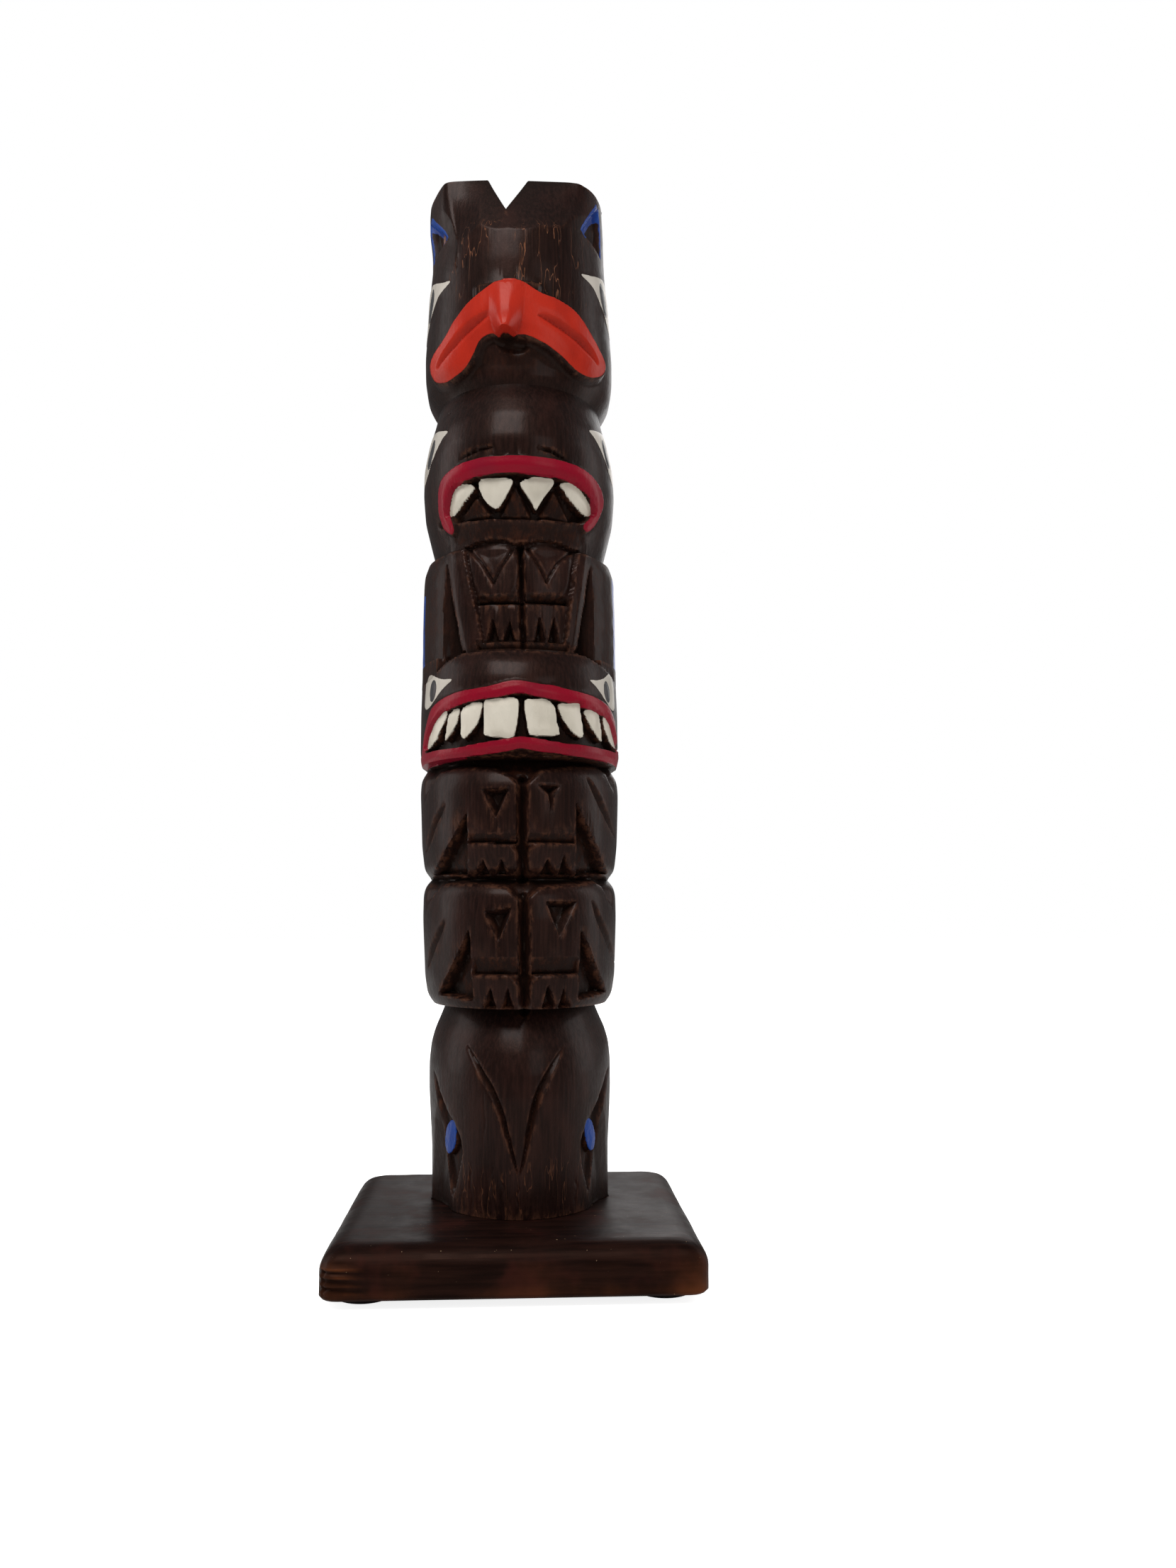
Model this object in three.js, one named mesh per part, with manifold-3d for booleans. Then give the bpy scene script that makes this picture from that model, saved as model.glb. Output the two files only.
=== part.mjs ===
// A souvenir totem pole: one carved, stained and painted log with a flat back, standing on a
// board with four button feet. Millimetres, +Z up, figures facing -Y, floor at z = 0.
import * as THREE from 'three';
import { mergeVertices } from 'three/addons/utils/BufferGeometryUtils.js';
import Module from 'manifold-3d';

const wasm = await Module();
wasm.setup();

// ---- Driving dimensions ---------------------------------------------------------------------
const TOTAL_HEIGHT = 305;
const FOOT = { radius: 8, height: 2.5, fromSide: 10, fromFront: 13.5, edge: 0.8 };
const BOARD = { width: 94, depth: 82, thickness: 12.5, edge: 6.5, corner: 4.5, underEdge: 0.7 };
const POLE_FOOT = FOOT.height + BOARD.thickness;
const BACK = 20.5;              // the flat back of the pole
const WIDEST = 10;              // depth at which every section is widest
const BACK_CORNER_POWER = 6;    // how square the two back corners are
const LEAN = { foot: 1.2, perMillimetre: -0.0075 };
const ARC_STEPS = 22;           // sides around the rounded front
const BACK_STEPS = 6;

// Figures from the foot up. A row is [height, half width, front depth]; power 2 is an ellipse.
const FIGURES = [
  { name: 'lower body', power: 1.85, rows: [
    [POLE_FOOT, 24.6, -19], [30, 24.7, -20.4], [45, 25.5, -21], [52, 25.5, -20.4],
    [57, 25, -19], [61, 23.9, -17.2], [65, 22.1, -15], [68.4, 20.8, -13.2]] },
  { name: 'lower crouching figure', power: 2.1, rows: [
    [68.5, 24.4, -21.2], [70.5, 26, -22.2], [76, 26.9, -22.6], [92, 27.5, -22.8],
    [98.5, 27.4, -21.8], [101.2, 26.6, -20], [102.4, 25.2, -17.8]] },
  { name: 'upper crouching figure', power: 2.1, rows: [
    [103.2, 25.6, -18.6], [105, 27.1, -21.6], [112, 27.9, -22.8], [127, 28.4, -22.8],
    [131, 28.1, -21.2], [133, 26.6, -18.8], [134.2, 26, -18]] },
  { name: 'wide-mouthed head', power: 2.1, rows: [
    [134.6, 27.6, -23.2], [138, 28.5, -24.4], [150, 28.4, -24.6], [156, 28.2, -24],
    [160.5, 28.1, -22.4], [163.4, 28.1, -20]] },
  { name: 'chest with two arms', power: 2, rows: [
    [163.5, 28.1, -17.6], [180, 28.1, -17.4], [190, 27.8, -16.8], [193.4, 26.6, -16]] },
  { name: 'fanged head', power: 2, rows: [
    [194.2, 24.2, -16.4], [201, 26, -18.4], [207, 27.5, -20.4], [215, 28.1, -22.4],
    [222, 27.8, -23.2], [229, 26.5, -22], [235, 24.8, -19.4], [239.6, 23.8, -16.4]] },
  { name: 'beaked head', power: 2, rows: [
    [242, 25.4, -17.2], [245, 27, -18], [250, 27.8, -18.6], [257, 27.9, -18.8],
    [266, 27.3, -19.2], [275, 26.8, -19.6], [284, 25.9, -19.4], [TOTAL_HEIGHT, 26, -19]] },
];

// ---- Solids ---------------------------------------------------------------------------------
function manifold(geometry) {
  geometry.deleteAttribute('normal');
  geometry.deleteAttribute('uv');
  const merged = mergeVertices(geometry);
  return new wasm.Manifold(new wasm.Mesh({
    numProp: 3,
    vertProperties: new Float32Array(merged.attributes.position.array),
    triVerts: new Uint32Array(merged.index.array),
  }));
}

// Closed skin over a stack of rings that all have the same number of corners.
function skin(rings) {
  const corners = rings[0].length;
  const index = [];
  for (let level = 0; level + 1 < rings.length; level += 1) {
    for (let corner = 0; corner < corners; corner += 1) {
      const a = level * corners + corner;
      const b = level * corners + (corner + 1) % corners;
      index.push(a, b, b + corners, a, b + corners, a + corners);
    }
  }
  const last = (rings.length - 1) * corners;
  for (let corner = 1; corner + 1 < corners; corner += 1) {
    index.push(0, corner + 1, corner, last, last + corner, last + corner + 1);
  }
  const points = rings.flat();
  let volume = 0;
  for (let i = 0; i < index.length; i += 3) {
    const [a, b, c] = [points[index[i]], points[index[i + 1]], points[index[i + 2]]];
    volume += a.dot(b.clone().cross(c));
  }
  if (volume < 0) index.reverse();
  const geometry = new THREE.BufferGeometry().setFromPoints(points);
  geometry.setIndex(index);
  return manifold(geometry);
}

// Half width, front depth and power of the uncarved log at a height.
const ROWS = FIGURES.flatMap(({ power, rows }) => rows.map((row) => [...row, power]));

function section(z) {
  let i = 0;
  while (i + 2 < ROWS.length && ROWS[i + 1][0] < z) i += 1;
  const t = THREE.MathUtils.clamp((z - ROWS[i][0]) / (ROWS[i + 1][0] - ROWS[i][0]), 0, 1);
  return [1, 2, 3].map((k) => THREE.MathUtils.lerp(ROWS[i][k], ROWS[i + 1][k], t));
}

function surfaceDepth(x, z, offset) {
  const [half, front, power] = section(z);
  const across = Math.min(Math.abs(x) / (half + offset), 1);
  return WIDEST - (WIDEST - front + offset) * (1 - across ** power) ** (1 / power);
}

function sectionRing(z, half, front, power, offset) {
  const ring = [];
  const bend = (value, exponent) => Math.sign(value) * Math.abs(value) ** (2 / exponent);
  const quarter = (steps, start, depth, exponent) => {
    for (let i = 0; i < steps; i += 1) {
      const angle = start + (Math.PI * i) / steps;
      const x = (half + offset) * bend(Math.cos(angle), exponent);
      ring.push(new THREE.Vector3(x, WIDEST + depth * bend(Math.sin(angle), exponent), z));
    }
  };
  quarter(ARC_STEPS, Math.PI, WIDEST - front + offset, power);
  quarter(BACK_STEPS, 0, BACK - WIDEST, BACK_CORNER_POWER);
  return ring;
}

// The log as it is before carving, with its front and sides moved out by the offset.
const blanks = new Map();
function blank(offset) {
  if (!blanks.has(offset)) {
    blanks.set(offset, skin(ROWS.map((row) => sectionRing(...row, offset))));
  }
  return blanks.get(offset);
}

// A straight bar whose outline is seen along a level line of sight at the given angle:
// 0 looks from the front, 90 from the figures' left side (+X).
const REACH = 60;
function bar(outline, angle = 0, depthBehind = -WIDEST) {
  const shape = new THREE.Shape(outline.map(([x, z]) => new THREE.Vector2(x, z)));
  const options = { depth: REACH - depthBehind, bevelEnabled: false };
  const geometry = new THREE.ExtrudeGeometry(shape, options);
  geometry.translate(0, 0, depthBehind);
  geometry.rotateX(Math.PI / 2);
  geometry.rotateZ(THREE.MathUtils.degToRad(angle));
  return manifold(geometry);
}

let pole = blank(0);
const carve = (outline, depth, angle, behind) => {
  pole = pole.subtract(bar(outline, angle, behind).subtract(blank(-depth)));
};
const raise = (outline, height, angle) => {
  pole = pole.add(bar(outline, angle).intersect(blank(height)));
};
const mirrored = (outline) => outline.map(([x, z]) => [-x, z]);
const eachSide = (outline, work) => [outline, mirrored(outline)].forEach(work);
// A half outline from the middle line out, completed with its mirror image.
const bothHalves = (half) => [...half, ...mirrored(half).reverse()];
const smooth = (outline, steps) => new THREE.SplineCurve(
  outline.map(([x, z]) => new THREE.Vector2(x, z))).getPoints(steps).map((p) => [p.x, p.y]);

// A knife cut of V section along a line on the log, run out to nothing at its tapered ends.
const LIFT = 1.6;
function knifeCut(line, width, depth, tapers = [true, true], proud = 0) {
  const path = smooth(line, (line.length - 1) * 3);
  const rings = path.map(([x, z], i) => {
    const t = i / (path.length - 1);
    const fade = Math.sqrt(Math.min(1, tapers[0] ? t * 4 : 1, tapers[1] ? (1 - t) * 4 : 1));
    const size = Math.max(fade, 0.08);
    const [before, after] = [path[Math.max(i - 1, 0)], path[Math.min(i + 1, path.length - 1)]];
    const along = new THREE.Vector2(after[0] - before[0], after[1] - before[1]).normalize();
    const half = (width / 2) * size * (1 + LIFT / (depth * size));
    const bottom = new THREE.Vector3(x, surfaceDepth(x, z, proud - depth * size), z);
    const edges = [-half, half].map((side) => {
      const [ex, ez] = [x + along.y * side, z - along.x * side];
      return new THREE.Vector3(ex, surfaceDepth(ex, ez, proud + LIFT), ez);
    });
    return [bottom, ...edges];
  });
  pole = pole.subtract(skin(rings));
}

// ---- Beaked head at the top -----------------------------------------------------------------
const CROWN = { creaseHeight: 284, creaseDepth: -19.6, topDepth: -8.5, tilt: 1 };
const WING_HEIGHT = 2.2;
const NOTCH = { x: -3.6, bottom: 292.2, leftSlope: 2.4, rightSlope: 2.03 };

function beakedHead() {
  // The forehead is sliced back in one plane up to the ear tips, and the tips are cut level.
  const { creaseHeight, creaseDepth, topDepth, tilt } = CROWN;
  const above = TOTAL_HEIGHT + 10;
  const slope = (topDepth - creaseDepth) / (TOTAL_HEIGHT - creaseHeight);
  const slice = [[creaseDepth - 8 * slope, creaseHeight - 8],
    [creaseDepth + (above - creaseHeight) * slope, above], [-REACH, above],
    [-REACH, creaseHeight - 8]];
  pole = pole.subtract(bar(slice, 90, -REACH));
  pole = pole.subtract(bar([[-REACH, TOTAL_HEIGHT - 2 * tilt], [REACH, TOTAL_HEIGHT + tilt],
    [REACH, above], [-REACH, above]], 0, -REACH / 2));
  const rise = above - NOTCH.bottom;
  const notch = [[NOTCH.x, NOTCH.bottom], [NOTCH.x + rise / NOTCH.rightSlope, above],
    [NOTCH.x - rise / NOTCH.leftSlope, above]];
  pole = pole.subtract(bar(notch, 0, -REACH / 2));
  // Ears: a triangular hollow on each outer side, above the brow.
  [-1, 1].forEach((hand) => {
    const ear = [[-7.5, 289], [6, 287], [6, 303]].map(([x, z]) => [x * hand, z]);
    carve(ear, 1.6, 62 * hand);
  });
  // The mouth: one broad red wing each side of the beak, standing proud of the throat.
  const wing = smooth([[0, 269], [5, 268.4], [10, 265.6], [15, 262.8], [20, 258.4],
    [24.4, 253], [25.9, 249], [24, 245.6], [20.6, 244.2], [17, 245.2], [13.2, 247.6],
    [10, 250.8], [6, 253]], 24);
  raise(bothHalves(wing), WING_HEIGHT);
  eachSide([[8, 258.6], [13, 255.8], [18, 252.4], [22.6, 248.8]], (line) => {
    knifeCut(line, 2.4, 0.9, [true, true], WING_HEIGHT);
  });
  // The hooked beak runs down the middle and ends in a blunt tip clear of the throat.
  const beak = [[269.5, 3.8, -19], [265, 4.4, -22], [259, 4.2, -25], [254.8, 3, -26.8],
    [252.6, 1.9, -26.4], [251.4, 1.2, -24.6]];
  pole = pole.add(skin(beak.map(([z, half, front]) => [[-half - 1, -16], [-half, front + 2.4],
    [-half / 2, front], [half / 2, front], [half, front + 2.4], [half + 1, -16]].map(
    ([x, y]) => new THREE.Vector3(x, y, z)))));
}

// ---- Fanged head ----------------------------------------------------------------------------
function fangedHead() {
  const lipOuter = smooth([[0, 217], [10, 216.8], [16, 216], [21, 214], [23.6, 210],
    [23, 205], [20.6, 200.4], [18.6, 199]], 14);
  const lipInner = smooth([[17.6, 201.4], [19.8, 205.6], [19.8, 208.6], [17, 211],
    [10, 212], [0, 212.2]], 10);
  const mouth = [...lipInner, ...mirrored(lipInner).reverse()];
  raise(bothHalves([...lipOuter, ...lipInner]), 1.1);
  carve(mouth, 3);
  const fangs = [[[1, 210.6], [3.6, 212.4], [8.6, 212.4], [9.6, 210], [5.2, 203]],
    [[11.6, 210.4], [15.4, 211.8], [18.6, 209.6], [20.4, 205.4], [18.4, 203.8], [15, 206.4]]];
  fangs.forEach((fang) => eachSide(fang, (outline) => raise(outline, -0.4)));
  // The chin is a band below the mouth, and two short cuts mark the nostrils.
  eachSide([[4.6, 219.4], [9.5, 219.2], [14.8, 217.2]], (line) => knifeCut(line, 1.3, 1));
}

// ---- Chest with two arms --------------------------------------------------------------------
const CHEST = { low: 163.4, high: 194, shelf: 177.8 };

function chest() {
  const { low, high, shelf } = CHEST;
  // Beside the arms the wood is cut back to two upright slabs: the ears of the head below.
  eachSide([[20.6, high + 0.4], [16, 167.5], [14.6, 164.2], [20, 161.6], [25, 157.4],
    [REACH, 154], [REACH, high + 0.4]], (outline) => {
    pole = pole.subtract(bar(outline, 0, 3));
  });
  carve([[-15.2, high - 0.4], [15.2, high - 0.4], [11.6, low + 1.6], [-11.6, low + 1.6]], 1.3);
  knifeCut([[0.4, high - 0.8], [0.8, 180], [1, low + 2]], 2.2, 2.6, [false, false]);
  knifeCut([[-13, shelf - 0.6], [0, shelf], [13.4, shelf + 0.4]], 1.6, 2.4, [false, false]);
  [-1, 1].forEach((hand) => {
    const at = (x) => 0.6 + hand * x;
    knifeCut([[at(13.4), 192.8], [at(9.2), 188.4], [at(7.1), 183.6]], 1, 1.9);
    knifeCut([[at(1.8), 192.4], [at(4.8), 188.2], [at(6.6), 183]], 1, 1.9);
    clawNotches(at, [4.2, 8.8], low + 1.8, 173.2, 3.2, 2.8);
  });
}

// Narrow upright triangles that part a panel into claws.
function clawNotches(at, centres, foot, apex, width, depth) {
  centres.forEach((centre) => carve([[at(centre - width / 2), foot], [at(centre + width / 2), foot],
    [at(centre), apex]], depth));
}

// ---- Wide-mouthed head ----------------------------------------------------------------------
function wideMouthedHead() {
  const upperOuter = smooth([[0, 154.2], [8, 153.6], [17, 152.8], [23, 151.2], [26.4, 147],
    [27.8, 139]], 10);
  const upperInner = smooth([[26.2, 139], [24.4, 145.6], [20.6, 148.2], [10, 149.8],
    [0, 150.4]], 10);
  const lowerUpper = smooth([[0, 139.2], [9, 138.4], [18, 137.8], [28.5, 138.8]], 8);
  const lowerLower = smooth([[28.5, 135.6], [18, 134.9], [8, 135.2], [0, 135.8]], 8);
  carve(bothHalves([...upperInner].reverse().concat([[24, 138], [0, 138.4]])), 2.6);
  raise(bothHalves([...upperOuter, ...upperInner]), 1);
  raise(bothHalves([...lowerUpper, ...lowerLower]), 1);
  const teeth = [[[1.2, 139.9], [0.6, 149.6], [8.4, 149.6], [9.6, 146], [9.4, 139.8]],
    [[10.4, 148.8], [16, 148.9], [16.8, 140.8], [15, 140.6]],
    [[17.8, 148.2], [21.2, 147.4], [21.8, 140.4]],
    [[22.6, 147], [24.4, 144.8], [25.6, 138.9], [24.2, 139.4]]];
  teeth.forEach((tooth) => eachSide(tooth, (outline) => raise(outline, -0.5)));
}

// ---- Crouching figures ----------------------------------------------------------------------
// Both are alike: knees or paws up to the chest, arms outside, claws along the lower edge.
function crouchingFigure(foot, crown) {
  const height = crown - foot;
  const up = (part) => foot + part * height;
  const middle = 0.7;
  // The outer top corners and the dip between the two lobes are cut down.
  eachSide([[22, crown + 1], [24.5, up(0.93)], [26.6, up(0.72)], [REACH, up(0.72)],
    [REACH, crown + 1]], (outline) => carve(outline, 2.2));
  carve([[-middle * 3, crown + 0.6], [middle * 6, crown + 0.6], [middle + 1.4, up(0.82)],
    [middle - 1.4, up(0.82)]], 2.6);
  knifeCut([[middle, up(0.9)], [middle, up(0.45)], [middle, foot - 0.8]], 3, 2.8, [false, false]);
  [-1, 1].forEach((hand) => {
    const at = (x) => middle + hand * x;
    carve([[at(2.9), up(0.75)], [at(10.9), up(0.77)], [at(7.2), up(0.51)]], 2);
    knifeCut([[at(18.6), up(0.8)], [at(22.4), up(0.58)], [at(26), up(0.3)]], 1.4, 1.1);
    carve([[at(14.4), up(0.62)], [at(23.2), up(0.04)], [at(14.2), up(0.03)]], 2.8);
    knifeCut([[at(1), up(0.34)], [at(7), up(0.35)], [at(13.6), up(0.36)]], 2, 1.6, [false, false]);
    clawNotches(at, [4.8, 10], foot + 0.1, up(0.19), 3.4, 2.4);
  });
}

// ---- Lower body -----------------------------------------------------------------------------
function lowerBody() {
  const point = [-0.3, 26.5];
  knifeCut([[-13.8, 58], [-5.4, 43], point], 2, 1.6);
  knifeCut([[11, 57.4], [4, 43.6], point], 2.2, 1.6);
  eachSide([[23.2, 49], [20.6, 40], [17.9, 37], [17, 29], [17.2, 21.5], [20.2, 28], [22, 38]],
    (outline) => carve(outline, 1.8));
}

beakedHead();
fangedHead();
chest();
wideMouthedHead();
crouchingFigure(68.6, 102.2);
crouchingFigure(103.4, 133.2);
lowerBody();

// Boolean cuts leave a few hair-short edges: each is closed up where that keeps the skin whole.
function closeShortEdges(points, triangles, shortest) {
  const neighbours = points.map(() => new Set());
  triangles.forEach((corners) => corners.forEach((corner, i) => {
    neighbours[corner].add(corners[(i + 1) % 3]).add(corners[(i + 2) % 3]);
  }));
  const touched = new Set();
  const moved = new Map();
  neighbours.forEach((around, a) => around.forEach((b) => {
    if (b < a || touched.has(a) || touched.has(b)) return;
    if (points[a].distanceTo(points[b]) > shortest) return;
    const shared = [...around].filter((corner) => neighbours[b].has(corner));
    if (shared.length !== 2) return;
    moved.set(b, a);
    [a, b, ...around, ...neighbours[b]].forEach((corner) => touched.add(corner));
  }));
  const kept = triangles.map((corners) => corners.map((corner) => moved.get(corner) ?? corner))
    .filter(([a, b, c]) => a !== b && b !== c && c !== a);
  return moved.size > 0 ? closeShortEdges(points, kept, shortest) : kept;
}

// A facet whose tip all but lies on its long side gives that side up: the facet and the one
// across the long side are split the other way.
function flipNeedles(points, triangles, thinnest) {
  const owner = new Map();
  const key = (from, to) => from * points.length + to;
  const enter = (corners, index) => corners.forEach((corner, i) => {
    owner.set(key(corner, corners[(i + 1) % 3]), index);
  });
  triangles.forEach(enter);
  triangles.forEach((corners, index) => {
    const sides = corners.map((corner, i) => points[corner].distanceTo(points[corners[(i + 1) % 3]]));
    const longest = sides.indexOf(Math.max(...sides));
    const [a, b, tip] = [0, 1, 2].map((i) => corners[(longest + i) % 3]);
    const area = new THREE.Triangle(points[a], points[b], points[tip]).getArea();
    const across = owner.get(key(b, a));
    if ((2 * area) / sides[longest] > thinnest || across === undefined) return;
    const far = triangles[across].find((corner) => corner !== a && corner !== b);
    if (owner.has(key(tip, far)) || owner.has(key(far, tip))) return;
    [[a, b], [b, a]].forEach(([from, to]) => owner.delete(key(from, to)));
    triangles[index] = [a, far, tip];
    triangles[across] = [far, b, tip];
    enter(triangles[index], index);
    enter(triangles[across], across);
  });
}

const SHORTEST_EDGE = 0.02;
const THINNEST_FACET = 0.01;

function bufferGeometry(solid) {
  const { numProp, vertProperties, triVerts } = solid.getMesh();
  const points = [];
  let triangles = [];
  for (let i = 0; i < vertProperties.length; i += numProp) {
    points.push(new THREE.Vector3().fromArray(vertProperties, i));
  }
  for (let i = 0; i < triVerts.length; i += 3) triangles.push([...triVerts.slice(i, i + 3)]);
  triangles = closeShortEdges(points, triangles, SHORTEST_EDGE);
  flipNeedles(points, triangles, THINNEST_FACET);
  const geometry = new THREE.BufferGeometry().setFromPoints(points);
  geometry.setIndex(triangles.flat());
  return geometry;
}

// The whole pole leans a little to the figures' right, about its foot.
function poleGeometry() {
  const geometry = bufferGeometry(pole);
  const position = geometry.attributes.position;
  for (let i = 0; i < position.count; i += 1) {
    const offset = LEAN.foot + LEAN.perMillimetre * (position.getZ(i) - POLE_FOOT);
    position.setX(i, position.getX(i) + offset);
  }
  return geometry;
}

// ---- Board and feet -------------------------------------------------------------------------
function boardRing(z, inset) {
  const { width, depth, corner } = BOARD;
  const [halfX, halfY] = [width / 2 - inset, depth / 2 - inset];
  const ring = [];
  [[1, 1], [-1, 1], [-1, -1], [1, -1]].forEach(([sx, sy], quarter) => {
    for (let step = 0; step <= 3; step += 1) {
      const angle = (quarter + step / 3) * (Math.PI / 2);
      ring.push(new THREE.Vector3(sx * (halfX - corner) + corner * Math.cos(angle),
        sy * (halfY - corner) + corner * Math.sin(angle), z));
    }
  });
  return ring;
}

const SPLINTERS = { count: 3, foot: 2.6, spacing: 1.9, run: 9, shorter: 1.4, gape: 0.85, depth: 1.5 };

function boardGeometry() {
  const { thickness, edge, underEdge, width, depth } = BOARD;
  const bottom = FOOT.height;
  const rings = [boardRing(bottom, underEdge), boardRing(bottom + underEdge, 0)];
  for (let step = 0; step <= 6; step += 1) {
    const angle = (step / 6) * (Math.PI / 2);
    rings.push(boardRing(bottom + thickness - edge + edge * Math.sin(angle),
      edge * (1 - Math.cos(angle))));
  }
  let board = skin(rings);
  // Splintered grooves run in from the front corner on the figures' right, shorter higher up.
  const { count, foot, spacing, run, shorter, gape, depth: cut } = SPLINTERS;
  for (let groove = 0; groove < count; groove += 1) {
    const [x, y, z] = [-width / 2, -depth / 2 - 1, bottom + foot + groove * spacing];
    const wedge = (along, size) => [[0, -gape * size], [0, gape * size], [1 + cut * size, 0]].map(
      ([inward, up]) => new THREE.Vector3(x + along, y + inward, z + up));
    board = board.subtract(skin([wedge(-1, 1), wedge(run - groove * shorter, 0.2)]));
  }
  return bufferGeometry(board);
}

function footGeometry() {
  const { radius, height, edge } = FOOT;
  const profile = [[0, 0], [radius - edge, 0], [radius, edge], [radius, height - edge / 2],
    [radius - edge / 2, height], [0, height]];
  const geometry = new THREE.LatheGeometry(profile.map(([r, z]) => new THREE.Vector2(r, z)), 28);
  geometry.rotateX(Math.PI / 2);
  return geometry;
}

// ---- Assembly -------------------------------------------------------------------------------
const totem = new THREE.Group();
const stained = { color: 0x2a1c18, roughness: 0.42, metalness: 0 };
const mesh = (name, geometry, finish) => {
  const piece = new THREE.Mesh(geometry, new THREE.MeshStandardMaterial(finish));
  piece.name = name;
  totem.add(piece);
  return piece;
};

mesh('totem_pole', poleGeometry(), stained);
mesh('base_board', boardGeometry(), { ...stained, color: 0x241815 });
[['left', -1], ['right', 1]].forEach(([sideName, sideways]) => {
  [['front', -1], ['back', 1]].forEach(([endName, lengthways]) => {
    const foot = mesh(`foot_${endName}_${sideName}`, footGeometry(), { ...stained, color: 0x1c1412 });
    foot.position.set(sideways * (BOARD.width / 2 - FOOT.fromSide),
      lengthways * (BOARD.depth / 2 - FOOT.fromFront), 0);
  });
});

export default totem;
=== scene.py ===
"""A carved, stained and painted totem pole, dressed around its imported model.

Sizes of the carving are millimetres, x from the pole's own middle line and z from the floor, with
the figures facing -Y. MM turns them into Blender's metres.
"""
import math

import bmesh
import bpy
import numpy as np
from mathutils import Matrix, Vector, noise


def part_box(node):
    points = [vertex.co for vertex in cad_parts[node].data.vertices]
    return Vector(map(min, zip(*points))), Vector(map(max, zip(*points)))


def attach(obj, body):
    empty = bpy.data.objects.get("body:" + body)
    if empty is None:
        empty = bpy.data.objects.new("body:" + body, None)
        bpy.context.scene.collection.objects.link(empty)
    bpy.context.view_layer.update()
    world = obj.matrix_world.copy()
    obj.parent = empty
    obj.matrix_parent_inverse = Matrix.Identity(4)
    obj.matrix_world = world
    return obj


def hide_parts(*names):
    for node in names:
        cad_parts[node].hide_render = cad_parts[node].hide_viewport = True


bl_info = {
    "name": "Carved Totem Pole",
    "version": (1, 0, 0),
    "blender": (4, 5, 0),
    "location": "3D View > Sidebar > Totem Pole",
    "description": "Carves and paints a small totem pole and stands it on its board",
    "category": "Object",
}

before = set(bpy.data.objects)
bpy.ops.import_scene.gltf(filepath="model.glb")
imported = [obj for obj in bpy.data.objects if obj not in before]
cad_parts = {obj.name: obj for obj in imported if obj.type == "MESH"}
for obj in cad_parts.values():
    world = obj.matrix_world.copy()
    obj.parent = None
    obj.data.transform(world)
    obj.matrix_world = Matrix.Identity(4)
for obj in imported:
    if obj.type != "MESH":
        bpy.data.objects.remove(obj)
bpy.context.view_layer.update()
MM = 0.001

# ---- Sizes of the log, in millimetres ------------------------------------------------------
POLE_LOW, POLE_HIGH = (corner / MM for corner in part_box("totem_pole"))
POLE_FOOT, POLE_TOP = POLE_LOW.z, POLE_HIGH.z
BACK = POLE_HIGH.y                    # the flat back
WIDEST = 10.0                         # depth at which every section is widest
BACK_CORNER_POWER = 6.0
LEAN = {"foot": 1.2, "per_millimetre": -0.0075}

# Figures from the foot up: the power of the section, 2 being an ellipse, then rows of
# height, half width and front depth.
FIGURES = {
    "lower body": (1.85, [
        (POLE_FOOT, 24.6, -19), (30, 24.7, -20.4), (45, 25.5, -21), (52, 25.5, -20.4),
        (57, 25, -19), (61, 23.9, -17.2), (65, 22.1, -15), (68.4, 20.8, -13.2)]),
    "lower crouching figure": (2.1, [
        (68.5, 24.4, -21.2), (70.5, 26, -22.2), (76, 26.9, -22.6), (92, 27.5, -22.8),
        (98.5, 27.4, -21.8), (101.2, 26.6, -20), (102.4, 25.2, -17.8)]),
    "upper crouching figure": (2.1, [
        (103.2, 25.6, -18.6), (105, 27.1, -21.6), (112, 27.9, -22.8), (127, 28.4, -22.8),
        (131, 28.1, -21.2), (133, 26.6, -18.8), (134.2, 26, -18)]),
    "wide-mouthed head": (2.1, [
        (134.6, 27.6, -23.2), (138, 28.5, -24.4), (150, 28.4, -24.6), (156, 28.2, -24),
        (160.5, 28.1, -22.4), (163.4, 28.1, -20)]),
    "chest": (2.0, [
        (163.5, 28.1, -17.6), (180, 28.1, -17.4), (190, 27.8, -16.8), (193.4, 26.6, -16)]),
    "fanged head": (2.0, [
        (194.2, 24.2, -16.4), (201, 26, -18.4), (207, 27.5, -20.4), (215, 28.1, -22.4),
        (222, 27.8, -23.2), (229, 26.5, -22), (235, 24.8, -19.4), (239.6, 23.8, -16.4)]),
    "beaked head": (2.0, [
        (242, 25.4, -17.2), (245, 27, -18), (250, 27.8, -18.6), (257, 27.9, -18.8),
        (266, 27.3, -19.2), (275, 26.8, -19.6), (284, 25.9, -19.4), (POLE_TOP, 26, -19)]),
}
PAINTS = ("vermilion", "crimson", "ivory", "eye_white", "pupil_grey", "blue", "bare_pink")


def linear(code):
    """The linear colour of an sRGB hex value."""
    channels = [int(code[i:i + 2], 16) / 255 for i in (0, 2, 4)]
    return [c / 12.92 if c <= 0.04045 else ((c + 0.055) / 1.055) ** 2.4 for c in channels] + [1.0]


# ---- Drawing with numbers ------------------------------------------------------------------
def rounded(outline, steps=4, closed=True):
    """A smooth curve through the points of an outline."""
    points = np.asarray(outline, float)
    if closed:
        points = np.vstack([points[-1], points, points[:2]])
    else:
        points = np.vstack([2 * points[0] - points[1], points, 2 * points[-1] - points[-2]])
    t = np.linspace(0, 1, steps, endpoint=False)[:, None]
    curve = []
    for before, start, end, after in zip(points, points[1:], points[2:], points[3:]):
        curve.append(0.5 * (2 * start + (end - before) * t
                            + (2 * before - 5 * start + 4 * end - after) * t ** 2
                            + (3 * start - before - 3 * end + after) * t ** 3))
    return np.vstack(curve + ([] if closed else [points[-2]]))


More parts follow.
